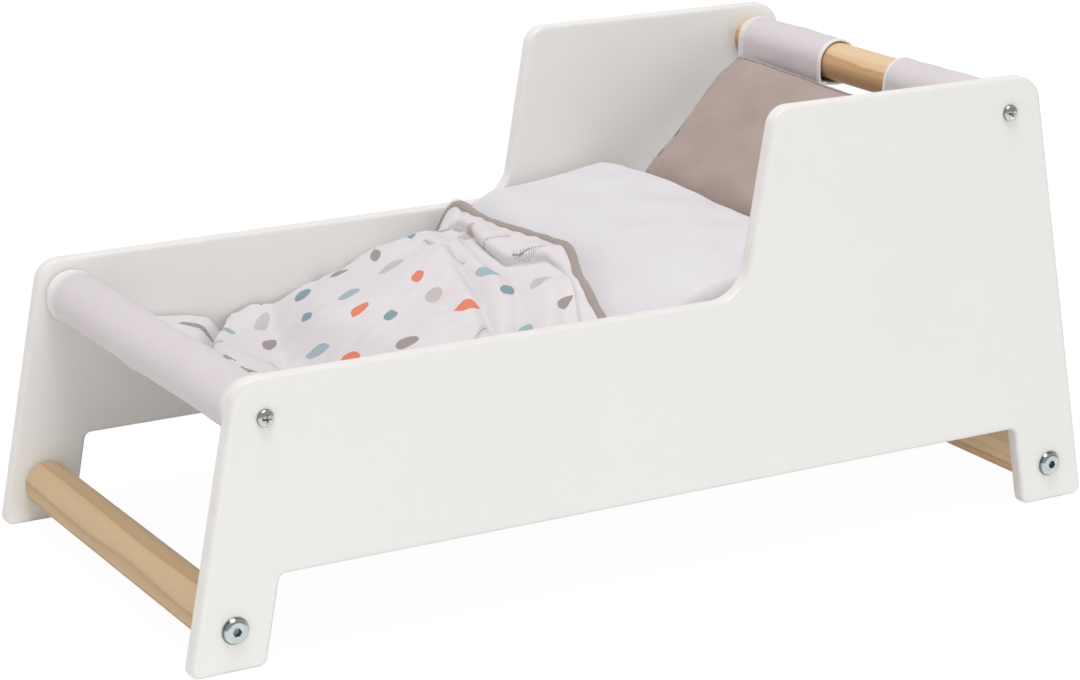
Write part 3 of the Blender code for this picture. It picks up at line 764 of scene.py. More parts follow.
def screwPiece(node, sign):
    # A pan head whose dome falls by the cosine to the power 0.7, with a cross recess that narrows as it goes down.
    height, reach, shank, long = screw["height"], screw["headRadius"], screw["shank"], screw["length"]
    steps = 96
    angle = np.arange(steps) * 2 * np.pi / steps + 1e-4
    c, t = np.abs(np.cos(angle)), np.abs(np.sin(angle))
    arm, half = screw["arm"] / 2, screw["slot"] / 2

    def crossOutline(arm, half):
        # The farther of two bars, each ending at its half length over the cosine or its half width over the sine.
        return np.maximum(np.minimum(arm / c, half / t), np.minimum(half / c, arm / t))

    cross, deep = crossOutline(arm, half), crossOutline(0.5 * arm, 0.6 * half)
    dome = np.linspace(0.25, 1, 7) * np.pi / 2
    outer = np.maximum(reach * np.sin(dome[0]), cross + 0.00008)
    domeHeights = np.maximum(height * np.cos(dome[1:]) ** 0.7, 0.0006)
    floor = height - screw["recessDepth"]
    radii = [0, deep, cross * 0.97, cross, outer, *(reach * np.sin(dome[1:])), reach * 0.99, shank, shank, 0]
    heights = [
        floor - 0.0004, floor, height - 0.00028, height - 0.00012, height - 0.00002, *domeHeights, 0, 0,
        screw["point"] - long, -long,
    ]
    points, faces = turned(radii, heights, headCentre(node, sign, height), sign, steps)
    piece = makePiece(node + "_steel", points, [faces], screwZinc, sharp=32)
    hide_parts(node)


for sideName, sideSign in (("right", -1), ("left", 1)):
    for endName in ("foot", "head"):
        boltPiece(f"rail_bolt_{endName}_{sideName}", sideSign)
        screwPiece(f"rail_screw_{endName}_{sideName}", sideSign)
        insertNode = frame["nodes"][f"threaded_insert_{endName}_{sideName}"]
        insertNode.data.materials.clear()
        insertNode.data.materials.append(insertZinc)
print("doll bed: bolts and screws made")


sling = {
    "sleeve": 0.0032, "loop": 0.0017, "cloth": 0.0024, "cadCloth": 0.003, "hang": 0.0125, "sag": 0.090,
    "runShare": 0.06, "headShare": 0.028, "joinShare": 0.5, "joinGap": 0.0022, "seam": 0.0002, "slack": 0.0005,
    "play": 0.0003, "threads": 1700.0, "stitchLine": 0.0098, "stitchPitch": 380, "stripWidth": 0.0029,
    "bendShare": 0.05, "besideFrom": 0.85, "nearRail": 0.017,
    "sleeveFade": (0.0135, 0.0015), "hemFade": (0.0102, 0.0098),
    "holdRight": 0.0345, "holdLeft": 0.031, "holdDrop": 0.024, "holdCorner": 0.018, "holdRun": 0.045,
    "footHalf": 0.1294, "headHalf": 0.123, "lap": 0.022, "sleeveRun": 0.125, "loopRun": 0.150, "hemLine": 0.1262,
    "colour": paint(217, 210, 213), "shade": paint(208, 199, 203), "band": paint(236, 233, 232),
    "stitch": paint(196, 188, 192),
}
footRail = np.array(boxMiddle("foot_top_rail"))
headRail = np.array(boxMiddle("head_top_rail"))
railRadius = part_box("foot_top_rail")[1][2] - footRail[1] + sling["play"]
slingRun, slingRise = headRail - footRail


def slingLine(share):
    # A parabola that starts and ends a little below the two rails.
    x = footRail[0] + share * slingRun
    z = footRail[1] - sling["hang"] + share * slingRise - 4 * sling["sag"] * share * (1 - share)
    return x, z, (slingRise - 4 * sling["sag"] * (1 - 2 * share)) / slingRun


def slingSide(share, offset):
    # The place at a height above the parabola, measured square to it.
    x, z, slope = slingLine(share)
    long = np.hypot(1, slope)
    return np.stack([x - slope / long * offset, z + offset / long], -1)


def tangentAngle(point, centre, radius, side):
    # Where round a circle the straight line from a point touches it.
    away = point - centre
    return math.atan2(away[1], away[0]) + side * math.acos(radius / math.hypot(*away))


def onCircle(centre, radius, angle):
    # The centre plus the radius times the angle's cosine and sine.
    return centre + radius * np.stack([np.cos(angle), np.sin(angle)], -1)


def slingTop(x):
    # Height of the sling's upper face; it leaves the parabola for a straight run up to the head rail.
    share = (np.asarray(x) - footRail[0]) / slingRun
    half = sling["cadCloth"] / 2
    z, slope = slingLine(share)[1:]
    start = slingSide(1 - sling["runShare"], half)
    loop = railRadius + sling["loop"]
    end = onCircle(headRail, loop, tangentAngle(start, headRail, loop, -1))
    straight = start[1] + (end[1] - start[1]) * (x - start[0]) / (end[0] - start[0])
    return np.where(x < start[0], z + half * np.hypot(1, slope), straight)


def slingPath():
    # Middle line of the cloth: a seam under the seat, round the foot rail, along the seat, round the head rail,
    # back to a seam. Each part has its points and its thickness.
    s = sling
    half = s["cadCloth"] / 2
    low, high = s["runShare"], 1 - s["headShare"]
    sleeveMid, loopMid = railRadius + s["sleeve"] / 2, railRadius + s["loop"] / 2
    underside = s["seam"] - half
    under, over = slingSide(low, underside), slingSide(low, half - s["sleeve"] / 2)
    a0, a1 = tangentAngle(under, footRail, sleeveMid, -1), tangentAngle(over, footRail, sleeveMid, 1)
    footPoints = onCircle(footRail, sleeveMid, a0 - np.linspace(0, (a0 - a1) % (2 * math.pi), 52))
    topEnd, backEnd = slingSide(high, half - s["loop"] / 2), slingSide(high, underside)
    b0 = tangentAngle(topEnd, headRail, loopMid, -1)
    front = onCircle(headRail, loopMid, b0)
    ahead = (front - topEnd) / np.linalg.norm(front - topEnd)
    join = topEnd + (front - topEnd) * s["joinShare"] + s["joinGap"] * np.array([ahead[1], -ahead[0]])
    b1 = tangentAngle(join, headRail, loopMid, 1)
    headPoints = onCircle(headRail, loopMid, b0 - np.linspace(0, (b0 - b1) % (2 * math.pi), 56))
    seat = np.linspace(low, high, 150)
    bends = [low, low + s["bendShare"], high - s["bendShare"], high]
    seatOffset = half - np.interp(seat, bends, [s["sleeve"] / 2, s["cloth"] / 2, s["cloth"] / 2, s["loop"] / 2])
    seatThickness = np.interp(seat, bends, [s["sleeve"], s["cloth"], s["cloth"], s["loop"]])
    lapShare = s["lap"] / slingRun
    lapFoot = slingSide(np.linspace(low + lapShare, low, 8), underside)
    lapHead = slingSide(np.linspace(high, high - lapShare, 8), underside)

    def straight(start, end):
        # Seven places evenly spaced between two ends, without the ends.
        return start + np.linspace(0, 1, 9)[1:-1, None] * (end - start)

    parts = [
        (lapFoot, s["sleeve"]),
        (straight(under, footPoints[0]), s["sleeve"]),
        (footPoints, s["sleeve"]),
        (straight(footPoints[-1], slingSide(low, seatOffset[0])), s["sleeve"]),
        (slingSide(seat, seatOffset), seatThickness),
        (straight(topEnd, headPoints[0]), s["loop"]),
        (headPoints, s["loop"]),
        (np.concatenate([straight(headPoints[-1], join), straight(join, backEnd)]), s["loop"]),
        (lapHead, s["loop"]),
    ]
    thickness = np.concatenate([np.broadcast_to(value, len(spots)) for spots, value in parts])
    zone = np.concatenate([np.full(len(spots), number) for number, (spots, value) in enumerate(parts)])
    return np.concatenate([spots for spots, value in parts]), thickness, zone


def slingPiece():
    # The middle line is spread from side to side, in two halves that part at the hand hold, and given its thickness.
    s = sling
    path, thickness, zone = slingPath()
    length = alongPath(path)
    share = np.clip((path[:, 0] - footRail[0]) / slingRun, 0, 1)
    half = s["footHalf"] + (s["headHalf"] - s["footHalf"]) * share - thickness / 2
    # Beside the hand hold the cloth ends at the hold's outline, a circle at its lower corners.
    isBeside = (zone >= 5) | ((zone == 4) & (share > s["besideFrom"]))
    above = np.where(isBeside, path[:, 1] - headRail[1] + s["holdDrop"], -1)
    corner = s["holdCorner"]
    inset = corner - np.sqrt(np.clip(corner**2 - (corner - np.clip(above, 0, corner)) ** 2, 0, None))
    middle = (s["holdLeft"] - s["holdRight"]) / 2
    rightEnd = np.where(above > 0, -s["holdRight"] + inset - thickness / 2, middle)
    leftEnd = np.where(above > 0, s["holdLeft"] - inset + thickness / 2, middle)
    columns = 46
    fraction = np.linspace(0, 1, columns)
    fraction = 0.5 * fraction + 0.5 * (1 - np.cos(np.pi * fraction)) / 2
    right = -half[:, None] + fraction * (rightEnd + half)[:, None]
    left = leftEnd[:, None] + fraction * (half - leftEnd)[:, None]
    # The two halves, right and left of the hold, are one grid after the other.
    y = np.concatenate([right, left])
    x, z, run, thick = (np.tile(np.broadcast_to(values[:, None], right.shape), (2, 1))
                        for values in (path[:, 0], path[:, 1], length, thickness))
    points = np.stack([x, y, z], -1).reshape(-1, 3)
    uv = np.stack([y, run], -1).reshape(-1, 2)
    faces = np.concatenate([gridFaces(len(path), columns, start=start) for start in (0, right.size)])
    # The cloth is a little slack: long soft ripples, lifted off the rails only outwards.
    normals = vertexNormals(points, faces)
    fromRails = [np.linalg.norm(points[:, ::2] - rail, axis=1) for rail in (footRail, headRail)]
    onRail = np.minimum(*fromRails) < s["nearRail"]
    lift = np.where(onRail, s["slack"] * np.abs(0.5 + 0.5 * ripple(points[:, 1], uv[:, 1], 0.05, 5)), 0.0)
    toRail = np.where((points[:, 0] < 0)[:, None], footRail, headRail) - points[:, ::2]
    inward = np.sign((normals[:, ::2] * toRail).sum(1))
    points = points - normals * (lift * inward)[:, None]
    sheetPoints, sheetFaces, sheetUv = thickSheet(points, faces, thick.reshape(-1), uv)
    material = clothMaterial("sling_cloth", s["colour"], s["shade"], s["threads"], dye=slingHems(length[-1]))
    piece = makePiece("sling_cloth", sheetPoints, openFaces(sheetFaces), material, uv=sheetUv)
    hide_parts("fabric_sling")
    flat = (2 * s["footHalf"], float(length[-1]))
    hold = 2 * (s["holdRight"] + s["holdLeft"]) * s["holdRun"]
    area = float(((half[1:] + half[:-1]) * np.diff(length)).sum()) - hold
    min(area, flat[0] * flat[1])
    print("doll bed: sling", round(flat[0], 3), "by", round(flat[1], 3), "area", round(area, 4))


def slingHems(length):
    # Bands and dashes at fixed distances from the cloth's edges, on its UV: u across the bed, v along the cloth.
    s = sling
    stripEdges = s["stripWidth"] + 0.0002, s["stripWidth"] - 0.0002

    def draw(base, uv):
        # A lighter turned hem along each side edge, with a row of small stitches 10 mm in. On the sleeve the band is
        #         # soft and lighter towards the edge: partly the hem, partly painted bounce light from the panels.
        u, v, w = uv.split()
        fromEdge = abs(u) * -1 + s["hemLine"]
        isSleeve = v < s["sleeveRun"]
        sleeveHemAndBounceLight = fromEdge.ramp(*s["sleeveFade"], 0, 1, True) * (isSleeve * 1.5)
        band = (fromEdge.ramp(*s["hemFade"]) * ~isSleeve).most(sleeveHemAndBounceLight)
        # The loops' cut edges beside the hand hold are bound in a paler strip.
        left = (u - s["holdLeft"]).ramp(*stripEdges) * (u > s["holdLeft"] - 0.004)
        right = (u * -1 - s["holdRight"]).ramp(*stripEdges) * (u < 0.004 - s["holdRight"])
        strip = left.most(right) * (v > length - s["loopRun"]) * 1.4
        base = mix(band.most(strip) * 0.6, base, s["band"])
        line = abs(fromEdge - s["stitchLine"]) < 0.00035
        dash = ((v * s["stitchPitch"]).fraction() > 0.3) * ~isSleeve
        return mix(line * dash * 0.45, base, s["stitch"])
    return draw


slingPiece()


mattress = {
    "footRun": 0.0816, "headRun": 0.1105, "halfWidth": 0.1285, "depth": 0.066, "corner": 0.006, "clearance": 0.0003,
    "tableSoft": 0.022,
    "sideEdge": 0.009, "endEdge": 0.008, "seamShare": 0.42, "inset": 0.0004, "underBlanket": 0.0032, "ripple": 0.0006,
    "full": 0.0010, "fullHeap": 0.0034, "besideDrop": 0.0055, "farDrop": 0.013, "swell": 0.0040, "threads": 1500.0,
    "places": (0, 0.06, 0.16, 0.28, 0.38, 0.48, 0.59, 0.69, 0.77, 0.87, 0.95, 1),
    "middle": (0.09, 0.35, 0.58, 0.70, 0.83, 0.97, 0.98, 1, 0.92, 0.79, 0.65, 0.53),
    "side": (0.08, 0.29, 0.42, 0.50, 0.65, 0.70, 0.76, 0.95, 0.86, 0.70, 0.58, 0.45),
    "slantAt": (0.1096, 0.0109), "slantWay": (0.880, -0.475), "slantSoft": 0.008, "slope": 0.16, "slopeDrop": 0.0045,
    "colour": paint(223, 221, 226), "shade": paint(216, 211, 215),
}
mattressFoot = footRail[0] + mattress["footRun"]
mattressHead = headRail[0] - mattress["headRun"]
mattressMiddle = smoothTable(mattress["places"], mattress["middle"], mattress["tableSoft"])
mattressSide = smoothTable(mattress["places"], mattress["side"], mattress["tableSoft"])


def mattressTop(x, y):
    # Height of the padded top before its edges are rounded: a table along the bed, lower towards the sides,
    # fuller beside the far panel, and sloping away past a line that runs slantwise to the near side.
    m = mattress
    place = (x - mattressFoot) / (mattressHead - mattressFoot)
    across = np.minimum(1, np.abs(y) / m["halfWidth"]) ** 4
    middle, side = mattressMiddle(place), mattressSide(place)
    past = (x - m["slantAt"][0]) * m["slantWay"][0] + (y - m["slantAt"][1]) * m["slantWay"][1]
    past = (past + np.sqrt(past**2 + m["slantSoft"] ** 2)) / 2
    slope = m["slopeDrop"] * (1 - np.exp(-m["slope"] * past / m["slopeDrop"])) * smoothStep(x, 0.0, 0.03)
    full = m["full"] + m["fullHeap"] * bell(x - 0.022, 0.018)
    full = full * smoothStep(y, 0.05, 0.11) * smoothStep(x, -0.004, 0.007)
    return slingTop(x) + m["clearance"] + m["depth"] * (middle + (side - middle) * across) - slope + full


def restTop(x, y):
    # The mattress as the blanket presses it: thin at its foot, lower beside the panels and at the far corner,
    # and swollen a little near the far panel.
    m = mattress
    far = smoothStep(y, 0.03, 0.11)
    foot = smoothStep(x, -0.178 + 0.014 * far, -0.115 + 0.010 * far)
    pressed = 1 - smoothStep(x, -0.010, 0.002)
    side = smoothStep(np.abs(y), 0.104, m["halfWidth"]) ** 1.5 * smoothStep(x, -0.15, -0.09)
    corner = smoothStep(y, 0.111, m["halfWidth"]) * smoothStep(x, -0.05, -0.015)
    beside = (m["besideDrop"] * side + m["farDrop"] * corner) * pressed
    swell = m["swell"] * bell(x + 0.072, 0.028) * smoothStep(y, 0.06, 0.11)
    bottom = slingTop(x)
    return bottom + m["clearance"] + (mattressTop(x, y) - bottom) * foot - beside + swell


def edgeRise(distance, reach):
    # A quarter circle's rise over the given reach from an edge.
    share = np.clip(distance / reach, 0, 1)
    return np.sqrt(1 - (1 - share) ** 2)


def paddedGrid(rows, columns):
    # A square grid from -1 to 1 both ways, closer together towards its edges.
    a, b = (
        0.75 * np.sin(np.linspace(-np.pi / 2, np.pi / 2, count)) + 0.25 * np.linspace(-1, 1, count)
        for count in (rows, columns)
    )
    return np.meshgrid(a, b, indexing="ij")


def paddedPiece(name, top, bottom, uvs, material, node, slot, fill):
    # A top and a bottom sheet on the same grid, joined round their rim.
    rows, columns = top.shape[:2]
    points = np.concatenate([top.reshape(-1, 3), bottom.reshape(-1, 3)])
    faces = gridFaces(rows, columns)
    faceSets = [faces, faces[:, ::-1] + rows * columns]
    piece = makePiece(name, points, faceSets, material, body=node, uv=np.concatenate(uvs))
    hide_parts(node)


def mattressPiece():
    # The top rises from the seam by quarter circles at the rim, and the bottom lies along the sling.
    m = mattress
    a, b = paddedGrid(130, 120)
    middleX, halfLength = (mattressFoot + mattressHead) / 2, (mattressHead - mattressFoot) / 2
    x = middleX + a * (halfLength - m["corner"] * np.abs(b) ** 8)
    y = b * (m["halfWidth"] - m["inset"] - m["corner"] * np.abs(a) ** 8)
    low = slingTop(x) + m["inset"]
    underBlanket = m["underBlanket"] * smoothStep(x, -0.16, -0.13) * (1 - smoothStep(x, -0.035, -0.014))
    high = np.maximum(restTop(x, y) - m["inset"] - underBlanket, low + 0.002)
    high += m["ripple"] * ripple(x, y, 0.045, 3) * (1 - np.abs(b) ** 3)
    rise = edgeRise((1 - np.abs(a)) * halfLength, m["endEdge"])
    rise = rise * edgeRise((1 - np.abs(b)) * m["halfWidth"], m["sideEdge"])
    seam = low + (high - low) * m["seamShare"]
    top = np.stack([x, y, seam + (high - seam) * rise], -1)
    bottom = np.stack([x, y, seam - (seam - low) * rise**0.6], -1)
    uv = np.stack([x, y], -1).reshape(-1, 2)
    cover = clothMaterial("mattress_cover", m["colour"], m["shade"], m["threads"], depth=0.0001, fuzz=0.25)
    paddedPiece("mattress_pad", top, bottom, [uv, uv], cover, "mattress", "mattress_cover", 0.7)


mattressPiece()
print("doll bed: mattress made")


pillow = {
    "footGap": 0.007, "headRun": 0.0235, "footLift": 0.003, "headDrop": 0.013, "right": 0.118, "left": 0.113,
    "sag": 0.0035, "crown": 0.025, "belly": 0.002, "seam": 0.0012, "seamIn": 0.0042, "farDraw": 0.008,
    "cornerDraw": 0.005, "cornerUp": 0.0038, "endUp": 0.0018, "crease": 0.0009, "rimCrease": 0.0012,
    "clearance": 0.0012, "threads": 1900.0,
    "stitchGap": 0.0163, "stitchStart": 0.26, "stitchShare": 0.32, "stitchRun": 0.055, "stitchIn": 0.017,
    "stitchHalf": 0.0017,
    "colour": paint(177, 160, 153), "shade": paint(158, 141, 133), "threadAndSeamShade": paint(84, 68, 62),
}


def pillowPiece():
    # Two cloths sewn round their rim: each bulges by the root of (1 - |a|^2.4)(1 - |b|^4) along the pillow's own
    # normal.
    p = pillow
    foot = mattressHead + p["footGap"]
    head = headRail[0] - p["headRun"]
    footZ = float(slingTop(foot)) + p["footLift"]
    headZ = headRail[1] - p["headDrop"]
    run, rise = head - foot, headZ - footZ
    long = math.hypot(run, rise)
    rim = (p["left"] + p["right"]) / 2
    a, b = paddedGrid(90, 110)
    share = (a + 1) / 2
    puff = np.sqrt(np.clip((1 - np.abs(a) ** 2.4) * (1 - np.abs(b) ** 4), 0, None))
    inside = p["seam"] * (np.abs(a) < 1) * (np.abs(b) < 1)
    sag = p["sag"] * 4 * share * (1 - share)
    y = (p["left"] - p["right"]) / 2 + b * (rim - p["cornerDraw"] * (1 - a * a))
    y = y - p["farDraw"] * smoothStep(share, 0.8, 1) * smoothStep(b, 0.2, 1)
    crease = p["crease"] * ripple(share * long * 1.6, y, 0.05, 8) * puff
    crease += p["rimCrease"] * ripple(share * long, y * 2.2, 0.03, 11) * (puff > 0) * (1 - puff)
    up = (p["endUp"] + p["cornerUp"] * smoothStep(y, -0.03, 0.11)) * smoothStep(share, 0.6, 1.0)
    sheets = []
    for side, height in ((1, p["crown"] + crease), (-1, p["belly"])):
        offset = side * (inside + height * puff) - sag
        x = foot + run * share - rise / long * offset
        z = np.maximum(footZ + rise * share + run / long * offset, slingTop(x) + p["clearance"])
        sheets.append(np.stack([x, y, z + up], -1))
    uv = np.stack([share * long, b * rim], -1).reshape(-1, 2)

    def sewing(base, place):
        # A dark line under the head edge, painted shade of a sunk seam, and two open stitches low down the left edge.
        u, v, w = place.split()
        # The seam line is painted shade only; the stitches are dark thread.
        line = abs(u - (long - p["seamIn"])).ramp(0.0009, 0.0004, 0, 0.75)
        dash = (u * (1 / p["stitchGap"]) + p["stitchStart"]).fraction() < p["stitchShare"]
        dash = dash * (u < p["stitchRun"]) * (abs(v - (rim - p["stitchIn"])) < p["stitchHalf"])
        return mix(line.most(dash * 0.7), base, p["threadAndSeamShade"])

    cover = clothMaterial("pillow_cloth", p["colour"], p["shade"], p["threads"], fuzz=0.2, dye=sewing)
    paddedPiece("pillow_cushion", *sheets, [uv, uv + (0.3, 0)], cover, "pillow", "pillow_cloth", 0.6)


pillowPiece()
print("doll bed: pillow made")


blanket = {
    "halfWidth": 0.1282, "thickness": 0.0036, "clearance": 0.0014, "footEdge": -0.2062, "tuck": 0.026, "roll": 0.0033,
    "headRun": 0.114, "turnDepth": 0.045, "binding": 0.0030,
    "across": (-1, -0.79, -0.55, -0.33, -0.16, 0, 0.5, 0.77, 0.87, 1),
    "turn": (0.72, 0.62, 0.425, 0.18, 0.0, 0.03, 0.08, 0.03, 0.01, 0.33),
    "creaseY": (-0.130, 0.010, 0.040, 0.064, 0.103, 0.132),
    "creaseX": (-0.2035, -0.2035, -0.199, -0.190, -0.167, -0.148),
    "edgeY": (
        -0.13, -0.09, -0.06, -0.03, -0.015, 0.01, 0.028, 0.04, 0.064, 0.076, 0.088, 0.096, 0.104, 0.110, 0.114,
        0.118, 0.122, 0.1285,
    ),
    "edgeUp": (
        0.002, 0.0025, 0.003, 0.005, 0.0036, 0.0031, 0.0015, 0.0002, 0.0002, 0.0012, 0.0026, 0.005, 0.0092, 0.0122,
        0.0126, 0.0108, 0.009, 0.008,
    ),
    # Where each fold lies: places across the bed, y, and along it, x.
    "ridge": (
        (-0.130, -0.107), (-0.114, -0.102), (-0.083, -0.088), (-0.024, -0.068), (0.027, -0.052), (0.074, -0.037),
        (0.13, -0.022),
    ),
    "flap": (
        (-0.130, -0.050), (-0.10, -0.036), (-0.07, -0.022), (-0.046, -0.014), (-0.023, -0.012), (-0.012, -0.018),
        (-0.004, -0.028), (0.031, -0.023), (0.072, -0.014), (0.083, -0.0135), (0.11, -0.012), (0.13, -0.016),
    ),
    "valley": (
        (-0.130, -0.092), (-0.115, -0.085), (-0.081, -0.067), (-0.042, -0.040), (0.01, -0.034), (0.05, -0.024),
        (0.13, -0.012),
    ),
    "middle": ((-0.130, -0.092), (-0.105, -0.086), (-0.04, -0.054), (0.036, -0.033), (0.13, -0.010)),
    "hump": ((-0.130, -0.072), (-0.115, -0.066), (-0.09, -0.052), (-0.06, -0.032), (-0.03, -0.018), (0.13, 0.0)),
    "ridgeLift": 0.0098, "middleLift": 0.0046, "humpLift": 0.0050, "valleyDrop": 0.0030, "behindFlapDrop": 0.0034,
    "ridgeRun": 0.042, "middleRun": 0.0075, "humpRun": 0.008, "valleyRun": 0.007, "behindFlapRun": 0.006,
    "behindFlapGap": 0.009,
    "flapLift": 0.0062, "flapRun": 0.0050, "flapOver": 0.0028, "foldLift": 0.0025, "tuckedLift": 0.0135,
    "cornerDrop": 0.0016, "pleatLift": 0.0014, "wrinkle": 0.0006, "fineWrinkle": 0.0003, "deepest": -0.0028,
    "body": 0.0017, "layerGap": 0.0006, "headGap": 0.0005, "tuckWave": 0.004, "threads": 1700.0,
    "white": paint(226, 221, 224), "shade": paint(217, 210, 213),
    "orange": paint(228, 98, 28), "blue": paint(146, 172, 182), "teal": paint(96, 139, 149),
    "taupe": paint(138, 128, 120), "grey": paint(190, 181, 176),
    "motifs": 28.5, "spread": 0.32, "printShift": (0.012, 0.019), "inkWobble": 0.0011, "hatchPitch": 560,
    "petalLong": (0.0078, 0.0108), "petalWide": (0.0040, 0.0056), "ovalLong": 0.0082, "ovalWide": 0.0056,
}


def blanketHeadEdge(y):
    # The bound edge across the bed, turned back towards the foot by the turn's depth times a smoothed table.
    edge = smoothTable(blanket["across"], blanket["turn"], 0.05)(y / blanket["halfWidth"])
    return mattressHead - blanket["headRun"] - blanket["turnDepth"] * edge


def foldLine(name, y, reach=0.010):
    # A fold's place along the bed for each y.
    return smoothTable(*zip(*blanket[name]), reach)(y)


def blanketFolds(x, y):
    # Lift and shift of the top layer: a long ridge that drops to a valley, low humps, and the flap behind the
    # binding.
    k = blanket
    ridge, valley, middle, hump = (foldLine(name, y) for name in ("ridge", "valley", "middle", "hump"))
    flap = foldLine("flap", y, 0.004)
    edge = blanketHeadEdge(y) - k["binding"]
    ridgeStrength = 1 - 0.8 * smoothStep(y, 0.035, 0.085)
    flapStrength = 0.45 + 0.55 * smoothStep(y, -0.05, -0.012) - 0.9 * smoothStep(y, 0.082, 0.106)
    past = x - ridge
    lift = k["ridgeLift"] * ridgeStrength * bell(np.minimum(past, 0), k["ridgeRun"])
    lift = lift * (1 - smoothStep(past, -0.003, 0.009))
    lift += k["middleLift"] * bell(x - middle, k["middleRun"]) * (1 - smoothStep(y, 0.05, 0.09))
    lift -= k["valleyDrop"] * bell(x - valley, k["valleyRun"])
    lift -= k["behindFlapDrop"] * bell(x - flap + k["behindFlapGap"], k["behindFlapRun"]) * flapStrength
    lift += k["humpLift"] * bell(x - hump, k["humpRun"]) * smoothStep(-y, 0.03, 0.075)
    # The flap is a step up at its line, and crown goes from 0 there to 1 at the bound edge.
    u = (x - flap) / k["flapRun"]
    plateau = smoothStep(u, -0.7, 0.7)
    crown = np.clip((x - flap) / np.maximum(edge - flap, 0.006), 0, 1)
    lift += flapStrength * plateau * k["flapLift"] * (1 - crown)
    lift += plateau * crown**2 * smoothTable(k["edgeY"], k["edgeUp"], 0.003)(y)
    shift = -k["flapOver"] * flapStrength * np.sin(np.pi * np.clip(u, -1, 1))
    # Two small creases near the far corner, one sunk and one raised.
    corner = bell(x - 0.0008 + (0.105 - y) * 0.74, 0.0032)
    lift -= k["cornerDrop"] * corner * smoothStep(y, 0.06, 0.075) * (1 - smoothStep(y, 0.10, 0.115))
    pleat = bell(x + 0.046 - (y - 0.046) * 1.3, 0.0028)
    lift += k["pleatLift"] * pleat * smoothStep(y, 0.03, 0.042) * (1 - smoothStep(y, 0.06, 0.075))
    return lift, shift


def blanketPiece():
    # For each y the cloth's path runs from the head edge to the fold at the foot, back under it, and out again to
    # the foot edge: x along the bed and h above the mattress.
    k = blanket
    t, roll = k["thickness"], k["roll"]
    columns = 150
    y = np.linspace(-1, 1, columns) * (k["halfWidth"] - t / 2)
    crease = smoothTable(k["creaseY"], k["creaseX"], 0.008)(y)
    head = blanketHeadEdge(y) - k["binding"]
    foldEnd = crease + roll + t / 2
    inner = crease + k["tuck"] + k["tuckWave"] * ripple(y, 0 * y, 0.08, 21)
    footEdge = np.full(columns, k["footEdge"] + t / 2)
    h1 = k["clearance"] + t / 2
    h2 = h1 + t + k["layerGap"]
    h3 = h2 + 2 * roll
    # Rows lie closer together where the flap and the ridge fold.
    parts = (0, 0.048, 56), (0.0495, 0.115, 48), (0.117, 0.207, 42)
    places = np.concatenate([np.linspace(*part) for part in parts])
    xTop = head + (foldEnd - head) * (places / places[-1])[:, None]
    headHeight = h1 + k["headGap"]
    hTop = headHeight + (h3 - headHeight) * smoothStep(inner - xTop, -0.018, 0.004)
    angle = np.linspace(0, np.pi, 14)[1:-1, None]
    xRoll = foldEnd - roll * np.sin(angle)
    hRoll = (h2 + h3) / 2 + (h3 - h2) / 2 * np.cos(angle) + 0 * xRoll
    xMid = foldEnd + (inner - foldEnd) * np.linspace(0, 1, 14)[:, None]
    angle = np.linspace(0, np.pi, 8)[1:-1, None]
    xBack = inner + (h2 - h1) / 2 * np.sin(angle)
    hBack = (h1 + h2) / 2 + (h2 - h1) / 2 * np.cos(angle) + 0 * xBack
    xLow = inner + (footEdge - inner) * np.linspace(0, 1, 24)[:, None]
    x = np.concatenate([xTop, xRoll, xMid, xBack, xLow])
    h = np.concatenate([hTop, hRoll, h2 + 0 * xMid, hBack, h1 + 0 * xLow])
    yy = np.broadcast_to(y, x.shape)
    isTop = np.arange(len(x))[:, None] < len(places)
    wrinkles = k["wrinkle"] * ripple(x, yy * 0.45, 0.034, 31) + k["fineWrinkle"] * ripple(x, yy, 0.020, 33)
    lift, shift = blanketFolds(x, yy)
    body = smoothStep(x, -0.17, -0.12) * k["body"]
    # At the far side of its foot the cloth is bunched up past the fold.
    past = crease - x
    tucked = k["tuckedLift"] * smoothStep(past, 0.001, 0.013) * (1 - 0.35 * smoothStep(past, 0.02, 0.05))
    tucked = (tucked + k["foldLift"] * bell(past + 0.001, 0.008)) * smoothStep(yy, 0.05, 0.10)
    z = restTop(x, yy) + h + tucked + np.where(isTop, np.maximum(lift + wrinkles, k["deepest"]) + body, 0)
    points = np.stack([x + np.where(isTop, shift, 0), yy, z], -1)
    run = alongPath(points[:, columns // 2])
    across, along = k["printShift"]
    uv = np.stack([yy + across, np.broadcast_to(run[:, None], x.shape) + along], -1).reshape(-1, 2)
    faces = gridFaces(len(x), columns)[:, ::-1]
    sheetPoints, sheetFaces, sheetUv = thickSheet(points.reshape(-1, 3), faces, t, uv)
    cloth = clothMaterial("blanket_print", k["white"], k["shade"], k["threads"], dye=blanketPrint)
    piece = makePiece("blanket_cloth", sheetPoints, openFaces(sheetFaces), cloth, body="blanket", uv=sheetUv)
    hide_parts("blanket")
    return piece, points[0], float(run[-1])


